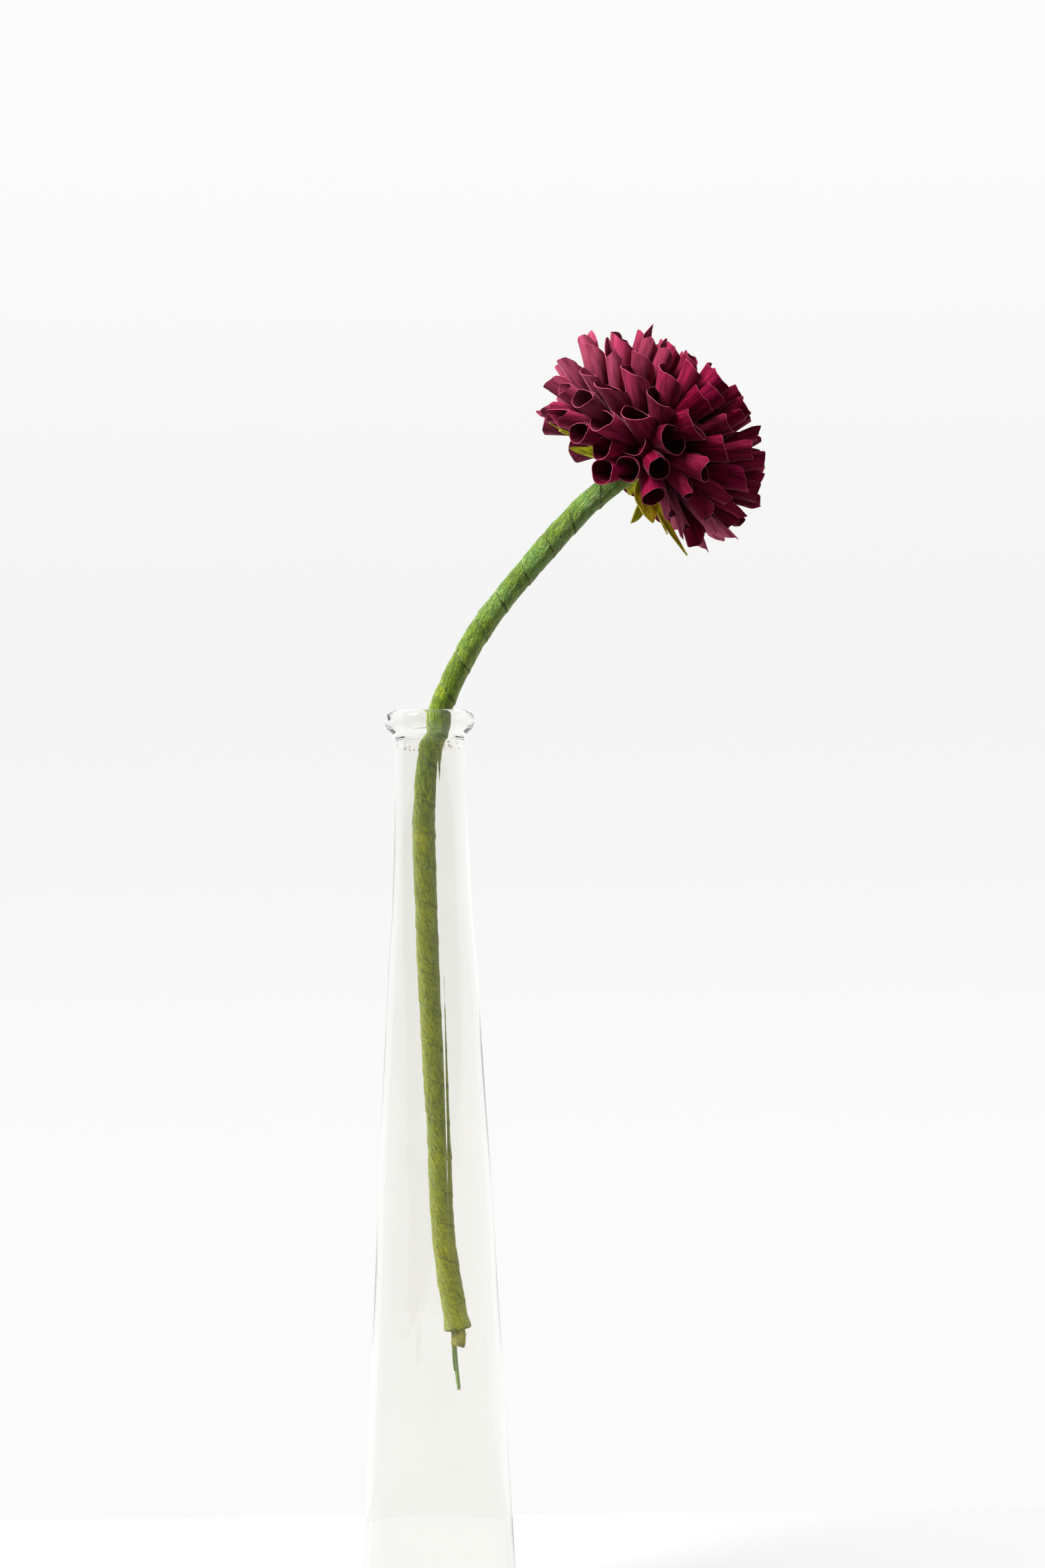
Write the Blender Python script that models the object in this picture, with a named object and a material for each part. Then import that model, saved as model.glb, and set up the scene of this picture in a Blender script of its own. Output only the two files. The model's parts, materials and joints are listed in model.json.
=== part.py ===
"""A handmade ball dahlia of crepe paper, standing in a tall glass bottle vase.

Frame: metres, +Z up, +X to the picture's right, the camera looks along +Y.
The origin is the centre of the vase's flat bottom, on the vase's axis.
Nodes: vase, stem_wrap, stem_core, stem_wire, calyx, bloom, bloom_centre.
"""

import math

import bmesh
import bpy
import numpy as np
from mathutils import Matrix, Vector

MM = 0.001

# Clearance between neighbouring pieces, and inside a bore, whose flat sides come nearer
GAP = 0.3 * MM
BORE_ROOM = 0.6 * MM

# Vase, outer radius at each height (radius, height), from the heel up to the neck
VASE_TURNS = 34
VASE_OUTER = (
    (27.6, 0.0),
    (29.4, 1.0),
    (30.1, 4.0),
    (29.9, 14.0),
    (29.0, 34.0),
    (26.4, 86.0),
    (23.7, 138.0),
    (21.7, 177.0),
    (19.5, 216.0),
    (17.2, 255.0),
    (15.6, 276.0),
    (14.8, 294.0),
    (14.2, 312.0),
    (13.8, 328.0),
    (13.6, 338.5),
)
# The ridge under the lip, the rounded bead and the lip's top (radius, height)
VASE_LIP = (
    (13.9, 340.5),
    (13.5, 342.2),
    (13.4, 343.8),
    (14.6, 345.6),
    (16.5, 347.2),
    (17.5, 349.4),
    (17.4, 351.8),
    (16.4, 353.9),
    (14.6, 354.9),
    (12.2, 354.7),
)
MOUTH_RADIUS = 10.5 * MM
MOUTH_EDGE_HEIGHT = 352.8 * MM
WALL_NECK = 3.2 * MM
WALL_FOOT = 2.6 * MM
WALL_NECK_HEIGHT = 300 * MM
FLOOR_CENTRE = 9.0 * MM
FLOOR_EDGE = 7.0 * MM
FLOOR_CORNER = 5.0 * MM

# Stem, centre line in millimetres from its cut end inside the vase up to the bloom
STEM_LINE = (
    (8.3, 4.0, 112.4),
    (4.4, 4.7, 137.2),
    (2.4, 5.3, 156.7),
    (1.3, 6.1, 189.2),
    (0.0, 6.3, 215.4),
    (-1.6, 6.5, 248.0),
    (-2.5, 6.1, 280.7),
    (-2.9, 5.4, 306.8),
    (-1.9, 2.0, 326.4),
    (0.2, -0.6, 339.3),
    (2.4, -2.0, 346.8),
    (4.7, -3.3, 356.1),
    (8.7, -5.2, 365.1),
    (14.0, -7.1, 375.3),
    (19.4, -8.7, 384.3),
    (28.9, -11.0, 397.0),
    (39.9, -13.3, 409.6),
    (51.3, -15.5, 422.2),
    (63.9, -17.0, 434.7),
)
WRAP_RADIUS = 4.5 * MM
WRAP_FLARE = 1.0 * MM
WRAP_FLARE_LENGTH = 7.0 * MM
WRAP_UNEVEN = 0.15 * MM
WRAP_STATIONS = 41
WRAP_SIDES = 12
CORE_RADIUS = 2.75 * MM
CORE_SIDES = 8
CORE_STATIONS = 38
STUB_END = (8.2, 4.0, 106.3)
WIRE_RADIUS = 0.6 * MM
WIRE_SIDES = 6
WIRE_STATIONS = 46
WIRE_TAIL = ((7.9, 3.5, 98.2), (8.7, 2.0, 89.3))

# Bloom, its middle and the way that its axis points
BLOOM_MIDDLE = Vector((88.9, -16.5, 457.7)) * MM
BLOOM_AXIS = Vector((0.6779, 0.0, 0.7353)).normalized()
SIDE_REACH = 46.8 * MM
TOP_REACH = 34.4 * MM
BACK_REACH = 46.8 * MM

# Rows of petals from the top down: angle from the axis, petals in the row, first azimuth
PETAL_ROWS = (
    (20.0, 6, 0.0),
    (33.0, 10, 10.5),
    (46.0, 13, -14.6),
    (60.5, 16, 7.0),
    (74.5, 17, -8.7),
    (88.5, 17, 7.0),
    (102.0, 19, -6.5),
    (116.0, 19, 3.0),
)
PETAL_SEED = 11
PETAL_SIDES = 6
PETAL_WALL = 0.7 * MM
MOUTH_HALF_WIDTH = 5.5 * MM
MOUTH_HALF_DEPTH = 4.5 * MM
ROOT_HALF_WIDTH = 1.3 * MM
PETAL_LENGTH = 29.0 * MM
# Middle rows stand more upright than straight out from the bloom's middle
UPRIGHT_LEAN = math.radians(27)
LOWEST_ANGLE = math.radians(116)
CUP_FLOOR_SHARE = 0.38
SEAM_STEP = 0.07
TIP_SLANT = 1.6 * MM
TIP_HORN = 0.8 * MM
SEAM_DROP = 3.4 * MM
TALL_HORN_ANGLE = math.radians(-85)
ANGLE_SPREAD = math.radians(2.2)
AZIMUTH_SPREAD = math.radians(2.6)
REACH_SPREAD = 1.3 * MM
WIDTH_SPREAD = 0.07
ROLL_SPREAD = math.radians(18)

# Ball that the petals are glued to
BALL_SIDE = 26.0 * MM
BALL_TOP = 17.0 * MM
BALL_BACK = 15.0 * MM
BALL_TURNS = 12
BALL_RINGS = 5
STEM_SOCKET_TOP = -10.0 * MM
TUFT_SOCKET_FLOOR = 10.0 * MM
TUFT_SOCKET_RADIUS = 3.6 * MM

# Bright tuft at the top of the bloom
TUFT_PLUG_RADIUS = TUFT_SOCKET_RADIUS - GAP
TUFT_PLUG_TOP = 22.0 * MM
TUFT_TIP = 32.5 * MM
TUFT_TIP_RADIUS = 6.0 * MM
TUFT_STRIPS = 13
TUFT_TURNS = 10
TUFT_SEED = 5
TUFT_STRIP_WIDTH = 1.7 * MM
TUFT_STRIP_THICKNESS = 0.7 * MM

# Green cup under the bloom, and its sepals
CUP_ROOM = 0.6 * MM
CUP_WALL = 1.7 * MM
CUP_RIM = -12.3 * MM
CUP_TURNS = 20
CUP_RINGS = 4
HUB_RADIUS = 5.6 * MM
HUB_BACK = -18.1 * MM
SEPAL_THICKNESS = 0.8 * MM
SEPAL_STATIONS = 5
SEPAL_ROOT_RADIUS = 12.0 * MM
SEPAL_ROOT_PLACE = -14.3 * MM
SEPAL_KNEE_RADIUS = 17.0 * MM
# Each sepal: azimuth in degrees, distance of the tip from the axis, tip's place along
# the axis, half width (all in millimetres)
SEPALS = (
    (-82.0, 35.0, -23.0, 2.6),
    (-62.0, 33.0, -23.5, 3.2),
    (45.0, 29.5, -26.0, 4.3),
    (50.0, 19.0, -31.0, 2.8),
    (76.0, 40.5, -27.5, 2.1),
    (118.0, 31.0, -23.0, 3.4),
    (168.0, 32.0, -23.0, 3.6),
    (-132.0, 32.0, -23.0, 3.6),
)


def clear_scene():
    """Removes what the start-up scene holds."""
    for thing in list(bpy.data.objects):
        bpy.data.objects.remove(thing, do_unlink=True)


def make_material(name, colour, roughness, metallic=0.0):
    """A plain Principled material."""
    material = bpy.data.materials.new(name)
    material.use_nodes = True
    shader = material.node_tree.nodes["Principled BSDF"]
    shader.inputs["Base Color"].default_value = (*colour, 1.0)
    shader.inputs["Roughness"].default_value = roughness
    shader.inputs["Metallic"].default_value = metallic
    return material


def add_mesh(name, points, faces, collection=None):
    """A mesh object from points and faces."""
    mesh = bpy.data.meshes.new(name)
    mesh.from_pydata([tuple(point) for point in points], [], faces)
    mesh.validate()
    thing = bpy.data.objects.new(name, mesh)
    (collection or bpy.context.scene.collection).objects.link(thing)
    return thing


def finish(thing, material):
    """Gives an object its material and smooth shading with crisp edges."""
    thing.data.materials.clear()
    thing.data.materials.append(material)
    thing.data.shade_smooth()
    thing.data.set_sharp_from_angle(angle=math.radians(40))


def apply_modifiers(thing):
    """Replaces an object's mesh by the one that its modifiers make."""
    graph = bpy.context.evaluated_depsgraph_get()
    made = bpy.data.meshes.new_from_object(thing.evaluated_get(graph))
    thing.modifiers.clear()
    thing.data = made


def keep_main_body(thing):
    """Welds a fused mesh and drops loose scrap from it."""
    cleaned = bmesh.new()
    cleaned.from_mesh(thing.data)
    bmesh.ops.remove_doubles(cleaned, verts=cleaned.verts, dist=1e-6)
    bmesh.ops.triangulate(cleaned, faces=cleaned.faces)
    unseen = set(cleaned.verts)
    bodies = []
    while unseen:
        body = {unseen.pop()}
        front = list(body)
        while front:
            for edge in front.pop().link_edges:
                for vertex in edge.verts:
                    if vertex not in body:
                        body.add(vertex)
                        front.append(vertex)
        unseen -= body
        bodies.append(body)
    bodies.sort(key=len)
    for body in bodies[:-1]:
        bmesh.ops.delete(cleaned, geom=list(body), context="VERTS")
    cleaned.to_mesh(thing.data)
    cleaned.free()


def fuse(thing, pieces):
    """Unites an object with every object of a collection, in one Boolean."""
    union = thing.modifiers.new("union", "BOOLEAN")
    union.operation = "UNION"
    union.operand_type = "COLLECTION"
    union.collection = pieces
    union.solver = "EXACT"
    apply_modifiers(thing)
    for piece in list(pieces.objects):
        bpy.data.objects.remove(piece, do_unlink=True)
    bpy.data.collections.remove(pieces)
    keep_main_body(thing)


def new_collection(name):
    """An empty collection, linked to the scene."""
    made = bpy.data.collections.new(name)
    bpy.context.scene.collection.children.link(made)
    return made


def turn(name, profile, turns, collection=None):
    """A body turned around +Z from a profile of (radius, height) pairs.

    The profile runs from the top to the bottom on its outer side.
    """
    points = [(radius, 0.0, height) for radius, height in profile]
    edges = [(i, i + 1) for i in range(len(points) - 1)]
    mesh = bpy.data.meshes.new(name)
    mesh.from_pydata(points, edges, [])
    thing = bpy.data.objects.new(name, mesh)
    (collection or bpy.context.scene.collection).objects.link(thing)
    screw = thing.modifiers.new("turn", "SCREW")
    screw.axis = "Z"
    screw.angle = math.tau
    screw.steps = turns
    screw.render_steps = turns
    screw.use_merge_vertices = True
    screw.merge_threshold = 0.00001
    screw.use_smooth_shade = True
    apply_modifiers(thing)
    return thing


def bloom_matrix():
    """The bloom's own frame: Z along its axis, X towards the camera."""
    towards_camera = Vector((0.0, -1.0, 0.0))
    along = BLOOM_AXIS
    front = (towards_camera - along * towards_camera.dot(along)).normalized()
    side = along.cross(front)
    frame = Matrix((front, side, along)).transposed().to_4x4()
    frame.translation = BLOOM_MIDDLE
    return frame


def place_in_bloom(thing):
    """Moves a mesh made in the bloom's own frame to where the bloom stands."""
    thing.data.transform(bloom_matrix())


def on_axis(distance):
    """A point of the bloom's axis, at a distance from the bloom's middle."""
    return BLOOM_MIDDLE + BLOOM_AXIS * distance


def smooth_line(points, stations):
    """Evenly spaced stations on a smooth curve through the points."""
    knots = [Vector(point) for point in points]
    knots.insert(0, knots[0] * 2 - knots[1])
    knots.append(knots[-1] * 2 - knots[-2])
    dense = []
    steps = 24
    for i in range(1, len(knots) - 2):
        before, start, end, after = knots[i - 1 : i + 3]
        for k in range(steps):
            t = k / steps
            dense.append(
                0.5
                * (
                    2 * start
                    + (end - before) * t
                    + (2 * before - 5 * start + 4 * end - after) * t * t
                    + (3 * start - before - 3 * end + after) * t * t * t
                )
            )
    dense.append(knots[-2])
    walked = [0.0]
    for first, second in zip(dense, dense[1:]):
        walked.append(walked[-1] + (second - first).length)
    wanted = np.linspace(0.0, walked[-1], stations)
    columns = [np.interp(wanted, walked, [point[axis] for point in dense]) for axis in range(3)]
    return [Vector(point) for point in zip(*columns)]


def frames_along(line):
    """A pair of cross directions at each station, turned as little as possible.

    Every line of the stem ends square to the bloom's axis.
    """
    frames = []
    across = Vector((0.0, -1.0, 0.0))
    for i in range(len(line)):
        if i == len(line) - 1:
            ahead = BLOOM_AXIS
        else:
            ahead = (line[i + 1] - line[max(i - 1, 0)]).normalized()
        across = (across - ahead * across.dot(ahead)).normalized()
        frames.append((across.copy(), ahead.cross(across)))
    return frames


def ring_faces(first, second, sides):
    """Quads between two rings of points, numbered from first and second."""
    faces = []
    for k in range(sides):
        after = (k + 1) % sides
        faces.append((first + k, first + after, second + after, second + k))
    return faces


def tube(name, line, sides, outer_radii, bore_radius):
    """A tube along a line, closed between its outer side and its bore."""
    frames = frames_along(line)
    points = []
    faces = []
    count = len(line)
    for radii in (outer_radii, [bore_radius] * count):
        for place, (across, up), radius in zip(line, frames, radii):
            for k in range(sides):
                angle = math.tau * k / sides
                points.append(place + (across * math.cos(angle) + up * math.sin(angle)) * radius)
    for i in range(count - 1):
        faces += ring_faces(i * sides, (i + 1) * sides, sides)
        inner = (count + i) * sides
        faces += [face[::-1] for face in ring_faces(inner, inner + sides, sides)]
    faces += [face[::-1] for face in ring_faces(0, count * sides, sides)]
    faces += ring_faces((count - 1) * sides, (2 * count - 1) * sides, sides)
    return add_mesh(name, points, faces)


def rod(name, line, sides, radius):
    """A solid rod along a line."""
    frames = frames_along(line)
    points = []
    faces = []
    for place, (across, up) in zip(line, frames):
        for k in range(sides):
            angle = math.tau * k / sides
            points.append(place + (across * math.cos(angle) + up * math.sin(angle)) * radius)
    for i in range(len(line) - 1):
        faces += ring_faces(i * sides, (i + 1) * sides, sides)
    faces.append(tuple(reversed(range(sides))))
    last = (len(line) - 1) * sides
    faces.append(tuple(range(last, last + sides)))
    return add_mesh(name, points, faces)


def build_vase():
    """The glass bottle: a hollow turned body with a thick floor and a rounded lip."""
    outer = [(radius * MM, height * MM) for radius, height in VASE_OUTER + VASE_LIP]
    inner = []
    for radius, height in outer[3 : len(VASE_OUTER)]:
        share = min(1.0, height / WALL_NECK_HEIGHT)
        wall = WALL_FOOT + (WALL_NECK - WALL_FOOT) * share
        inner.append((radius - wall, height))
    foot_radius = inner[0][0]
    floor = [
        (0.0, FLOOR_CENTRE),
        (foot_radius * 0.55, (FLOOR_CENTRE + FLOOR_EDGE) / 2),
        (foot_radius - FLOOR_CORNER, FLOOR_EDGE),
        (foot_radius - FLOOR_CORNER * 0.3, FLOOR_EDGE + FLOOR_CORNER * 0.3),
    ]
    mouth = [(MOUTH_RADIUS, 343.0 * MM), (MOUTH_RADIUS, MOUTH_EDGE_HEIGHT)]
    bottom = [(0.0, 0.0)]
    profile = floor + inner + mouth + outer[::-1] + bottom
    return turn("vase", profile, VASE_TURNS)


def stem_points():
    """The stem's centre line, up to the back of the bloom."""
    points = [Vector(point) * MM for point in STEM_LINE]
    points.append(on_axis(HUB_BACK - GAP))
    return points


def build_wrap():
    """The crepe winding: a tube, a little uneven, flared at its cut end."""
    line = smooth_line(stem_points(), WRAP_STATIONS)
    radii = []
    walked = 0.0
    for i, place in enumerate(line):
        if i:
            walked += (place - line[i - 1]).length
        flare = WRAP_FLARE * max(0.0, 1 - walked / WRAP_FLARE_LENGTH) ** 2
        uneven = math.sin(walked / (9 * MM)) * math.sin(walked / (31 * MM) + 1)
        radii.append(WRAP_RADIUS + flare + WRAP_UNEVEN * uneven)
    return tube("stem_wrap", line, WRAP_SIDES, radii, CORE_RADIUS + BORE_ROOM)


def inner_line(lower_points, stations):
    """The line of what runs inside the wrap, up into the bloom's socket."""
    points = [Vector(point) * MM for point in lower_points]
    points += stem_points()
    points.append(on_axis(STEM_SOCKET_TOP - GAP))
    return smooth_line(points, stations)


def build_core():
    """The rolled paper tube that the winding goes around."""
    line = inner_line((STUB_END,), CORE_STATIONS)
    radii = [CORE_RADIUS] * len(line)
    return tube("stem_core", line, CORE_SIDES, radii, WIRE_RADIUS + BORE_ROOM)


def build_wire():
    """The wire inside the stem, with its tail below."""
    line = inner_line(WIRE_TAIL[::-1] + (STUB_END,), WIRE_STATIONS)
    return rod("stem_wire", line, WIRE_SIDES, WIRE_RADIUS)


def row_reach(angle):
    """Distance from the bloom's middle to a petal's mouth, by the angle from the axis."""
    along = TOP_REACH if angle < math.pi / 2 else BACK_REACH
    return 1 / math.hypot(math.cos(angle) / along, math.sin(angle) / SIDE_REACH)


def direction(angle, azimuth):
    """The way out from the bloom's middle, by angle from the axis and azimuth."""
    flat = math.sin(angle)
    return Vector((flat * math.cos(azimuth), flat * math.sin(azimuth), math.cos(angle)))


def tip_height(around, slant, horn, drop):
    """How far a petal's cut edge stands past its mean height, by the angle around it."""
    tall = slant * math.cos(around - TALL_HORN_ANGLE) - horn * math.cos(2 * around)
    return tall - drop * math.cos(around)


def add_petal(collection, angle, azimuth, reach, scale, roll, slant, horn):
    """One strip of paper rolled into a cone, with its seam on the side of the top.

    The outer side has one point more than the bore, so that the margin overlaps.
    """
    mouth_middle = direction(angle, azimuth) * reach
    lean = UPRIGHT_LEAN * math.sin(math.pi * min(1.0, angle / LOWEST_ANGLE))
    outwards = direction(angle - lean, azimuth)
    sideways = Vector((-math.sin(azimuth), math.cos(azimuth), 0.0))
    upwards = sideways.cross(outwards)
    upwards = upwards if upwards.z > 0 else -upwards
    drop = SEAM_DROP * max(0.0, 1 - angle / LOWEST_ANGLE)

    def section(share, around, growth, inset):
        """A point of the cone, by its share of the length and the angle around it."""
        width = ROOT_HALF_WIDTH + (MOUTH_HALF_WIDTH - ROOT_HALF_WIDTH) * share
        depth = width * (1 + (MOUTH_HALF_DEPTH / MOUTH_HALF_WIDTH - 1) * share)
        turned = around + roll
        height = PETAL_LENGTH * (share - 1)
        height += tip_height(around, slant, horn, drop) * share * share
        return (
            mouth_middle
            + outwards * height
            + upwards * math.cos(turned) * (depth * scale * growth - inset)
            + sideways * math.sin(turned) * (width * scale * growth - inset)
        )

    outer_count = PETAL_SIDES + 1
    points = []
    for share in (0.0, 1.0):
        for k in range(outer_count):
            growth = 1 - SEAM_STEP + 2 * SEAM_STEP * k / PETAL_SIDES
            points.append(section(share, math.tau * k / PETAL_SIDES, growth, 0.0))
    for share in (CUP_FLOOR_SHARE, 1.0):
        for k in range(PETAL_SIDES):
            growth = 1 - SEAM_STEP + 2 * SEAM_STEP * k / PETAL_SIDES
            points.append(section(share, math.tau * k / PETAL_SIDES, growth, PETAL_WALL))
    mouth = outer_count
    floor = 2 * outer_count
    rim = floor + PETAL_SIDES
    faces = [tuple(range(outer_count))]
    faces += [face[::-1] for face in ring_faces(0, outer_count, outer_count)]
    faces += ring_faces(floor, rim, PETAL_SIDES)
    faces.append(tuple(reversed(range(floor, floor + PETAL_SIDES))))
    for k in range(PETAL_SIDES):
        after = (k + 1) % PETAL_SIDES
        faces.append((mouth + k, rim + k, rim + after, mouth + k + 1))
    faces.append((mouth, mouth + PETAL_SIDES, rim))
    petal = add_mesh("petal", points, faces, collection)
    tidy = bmesh.new()
    tidy.from_mesh(petal.data)
    bmesh.ops.triangulate(tidy, faces=tidy.faces)
    bmesh.ops.recalc_face_normals(tidy, faces=tidy.faces)
    tidy.to_mesh(petal.data)
    tidy.free()


def add_petals(collection):
    """Every row of petals, with seeded differences between them."""
    draw = np.random.default_rng(PETAL_SEED)
    for row, (angle, count, first) in enumerate(PETAL_ROWS):
        for k in range(count):
            lean, swing, longer, wider, roll, slant, horn = draw.uniform(-1, 1, 7)
            tilt = math.radians(angle) + lean * ANGLE_SPREAD
            azimuth = math.radians(first + 360 / count * k) + swing * AZIMUTH_SPREAD
            add_petal(
                collection,
                tilt,
                azimuth,
                row_reach(tilt) + longer * REACH_SPREAD,
                1 + wider * WIDTH_SPREAD,
                roll * ROLL_SPREAD,
                TIP_SLANT * (1 + 0.6 * slant),
                TIP_HORN * (1 + 0.8 * horn),
            )


def ball_profile():
    """Outline of the ball, with the stem's socket and the tuft's socket."""
    stem_bore = CORE_RADIUS + BORE_ROOM
    profile = [(0.0, TUFT_SOCKET_FLOOR), (TUFT_SOCKET_RADIUS, TUFT_SOCKET_FLOOR)]
    first = math.asin(TUFT_SOCKET_RADIUS / BALL_SIDE)
    for k in range(BALL_RINGS + 1):
        angle = first + (math.pi / 2 - first) * k / BALL_RINGS
        profile.append((BALL_SIDE * math.sin(angle), BALL_TOP * math.cos(angle)))
    last = math.asin(stem_bore / BALL_SIDE)
    for k in range(1, BALL_RINGS + 1):
        angle = math.pi / 2 - (math.pi / 2 - last) * k / BALL_RINGS
        profile.append((BALL_SIDE * math.sin(angle), -BALL_BACK * math.cos(angle)))
    profile.append((stem_bore, STEM_SOCKET_TOP))
    profile.append((0.0, STEM_SOCKET_TOP))
    return profile


def build_bloom():
    """The ball with its rows of rolled petals, fused into one body."""
    bloom = turn("bloom", ball_profile(), BALL_TURNS)
    petals = new_collection("petals")
    add_petals(petals)
    fuse(bloom, petals)
    place_in_bloom(bloom)
    return bloom


def add_strip(collection, azimuth, root, tip, tip_radius):
    """One narrow strip of the tuft's fringe, from its root's height to its tip's."""
    side = Vector((-math.sin(azimuth), math.cos(azimuth), 0.0))
    out = Vector((math.cos(azimuth), math.sin(azimuth), 0.0))
    half = TUFT_STRIP_THICKNESS / 2
    points = []
    stations = (
        (root, TUFT_PLUG_RADIUS * 0.6, 1.0),
        (TUFT_PLUG_TOP + 3 * MM, (TUFT_PLUG_RADIUS + tip_radius) / 2, 0.9),
        (tip, tip_radius, 0.45),
    )
    for height, radius, narrowing in stations:
        middle = out * radius + Vector((0.0, 0.0, height))
        wide = side * TUFT_STRIP_WIDTH / 2 * narrowing
        for sideways, inwards in ((-1, -1), (1, -1), (1, 1), (-1, 1)):
            points.append(middle + wide * sideways + out * half * inwards)
    faces = [(3, 2, 1, 0), (8, 9, 10, 11)]
    for start in (0, 4):
        faces += ring_faces(start, start + 4, 4)
    add_mesh("strip", points, faces, collection)


def build_tuft():
    """The bright fringed tuft in the socket at the top of the bloom."""
    profile = [
        (0.0, TUFT_PLUG_TOP),
        (TUFT_PLUG_RADIUS * 0.8, TUFT_PLUG_TOP),
        (TUFT_PLUG_RADIUS, TUFT_PLUG_TOP - 3 * MM),
        (TUFT_PLUG_RADIUS, TUFT_SOCKET_FLOOR + GAP),
        (0.0, TUFT_SOCKET_FLOOR + GAP),
    ]
    tuft = turn("bloom_centre", profile, TUFT_TURNS)
    strips = new_collection("strips")
    draw = np.random.default_rng(TUFT_SEED)
    for k in range(TUFT_STRIPS):
        lower, shorter, swing = draw.uniform(0, 1, 3)
        root = TUFT_PLUG_TOP - (4 + 2 * lower) * MM
        tip = TUFT_TIP - 1.6 * MM * shorter
        radius = TUFT_TIP_RADIUS * (0.6 if k % 2 else 1.0)
        azimuth = math.tau * (k + 0.3 * swing) / TUFT_STRIPS
        add_strip(strips, azimuth, root, tip, radius)
    fuse(tuft, strips)
    place_in_bloom(tuft)
    return tuft


def cup_surface(offset, height):
    """Radius of the ball's back, moved out by an offset, at a height."""
    deep = BALL_BACK + offset
    return (BALL_SIDE + offset) * math.sqrt(max(0.0, 1 - (height / deep) ** 2))


def cup_profile():
    """Outline of the green cup around the stem's end, hugging the ball."""
    bore = CORE_RADIUS + BORE_ROOM
    deep = BALL_BACK + CUP_ROOM
    profile = []
    start = -deep * math.sqrt(1 - (bore / (BALL_SIDE + CUP_ROOM)) ** 2)
    for k in range(CUP_RINGS + 1):
        height = start + (CUP_RIM - start) * (k / CUP_RINGS) ** 1.6
        profile.append((cup_surface(CUP_ROOM, height), height))
    outer_start = -(BALL_BACK + CUP_WALL) * 0.955
    for k in range(CUP_RINGS + 1):
        height = CUP_RIM + (outer_start - CUP_RIM) * k / CUP_RINGS
        profile.append((cup_surface(CUP_WALL, height - 0.2 * MM), height - 0.2 * MM))
    profile.append((HUB_RADIUS, HUB_BACK))
    profile.append((bore, HUB_BACK))
    profile.append(profile[0])
    return profile


def add_sepal(collection, azimuth, tip_radius, tip_place, half_width):
    """One pointed sepal from the cup's rim outwards, folded a little along its middle."""
    out = Vector((math.cos(azimuth), math.sin(azimuth), 0.0))
    side = Vector((-math.sin(azimuth), math.cos(azimuth), 0.0))
    up = Vector((0.0, 0.0, 1.0))
    root = Vector((SEPAL_ROOT_RADIUS, 0.0, SEPAL_ROOT_PLACE))
    knee = Vector((SEPAL_KNEE_RADIUS, 0.0, (SEPAL_ROOT_PLACE + tip_place) / 2))
    tip = Vector((tip_radius, 0.0, tip_place))
    points = []
    for k in range(SEPAL_STATIONS):
        t = k / (SEPAL_STATIONS - 1)
        middle = root * (1 - t) ** 2 + knee * 2 * t * (1 - t) + tip * t * t
        width = half_width * max(0.12, math.sin(math.pi * (0.22 + 0.78 * t)) ** 0.8)
        fold = 0.25 * width
        for sideways, rise in ((-1, fold), (0, 0.0), (1, fold)):
            surface = out * middle.x + up * (middle.z + rise) + side * width * sideways
            points.append(surface)
        for sideways, rise in ((1, fold), (0, 0.0), (-1, fold)):
            surface = out * middle.x + up * (middle.z + rise) + side * width * sideways
            points.append(surface - up * SEPAL_THICKNESS)
    faces = [tuple(range(6))[::-1]]
    for k in range(SEPAL_STATIONS - 1):
        faces += ring_faces(6 * k, 6 * k + 6, 6)
    last = 6 * (SEPAL_STATIONS - 1)
    faces.append(tuple(range(last, last + 6)))
    sepal = add_mesh("sepal", points, faces, collection)
    tidy = bmesh.new()
    tidy.from_mesh(sepal.data)
    bmesh.ops.triangulate(tidy, faces=tidy.faces)
    bmesh.ops.recalc_face_normals(tidy, faces=tidy.faces)
    tidy.to_mesh(sepal.data)
    tidy.free()


def build_calyx():
    """The green cup under the bloom, with its sepals."""
    calyx = turn("calyx", cup_profile(), CUP_TURNS)
    tidy = bmesh.new()
    tidy.from_mesh(calyx.data)
    bmesh.ops.remove_doubles(tidy, verts=tidy.verts, dist=1e-6)
    bmesh.ops.recalc_face_normals(tidy, faces=tidy.faces)
    tidy.to_mesh(calyx.data)
    tidy.free()
    sepals = new_collection("sepals")
    for azimuth, tip_radius, tip_place, half_width in SEPALS:
        add_sepal(sepals, math.radians(azimuth), tip_radius * MM, tip_place * MM, half_width * MM)
    fuse(calyx, sepals)
    place_in_bloom(calyx)
    return calyx


def main():
    """Builds every node and gives each its own finish."""
    clear_scene()
    finish(build_vase(), make_material("vase_glass", (0.86, 0.9, 0.8), 0.05))
    finish(build_wrap(), make_material("stem_crepe", (0.13, 0.27, 0.06), 0.75))
    finish(build_core(), make_material("core_paper", (0.2, 0.26, 0.12), 0.8))
    finish(build_wire(), make_material("stem_wire_metal", (0.24, 0.3, 0.2), 0.45, 0.6))
    finish(build_calyx(), make_material("sepal_crepe", (0.26, 0.32, 0.05), 0.75))
    finish(build_bloom(), make_material("petal_crepe", (0.17, 0.015, 0.045), 0.8))
    finish(build_tuft(), make_material("centre_crepe", (0.5, 0.02, 0.07), 0.8))


main()
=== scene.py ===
"""The looks of a crepe-paper ball dahlia that stands in a tall glass bottle vase.

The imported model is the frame: metres, +Z up, the camera looks along +Y, and the
origin is the middle of the vase's flat bottom. Sizes in the classes are millimetres.
"""

from __future__ import annotations

import json
import logging
import math
from collections.abc import Iterable, Sequence
from dataclasses import dataclass, field
from enum import Enum
from typing import Any

import bmesh
import bpy
import numpy as np
from mathutils import Matrix, Vector

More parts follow.
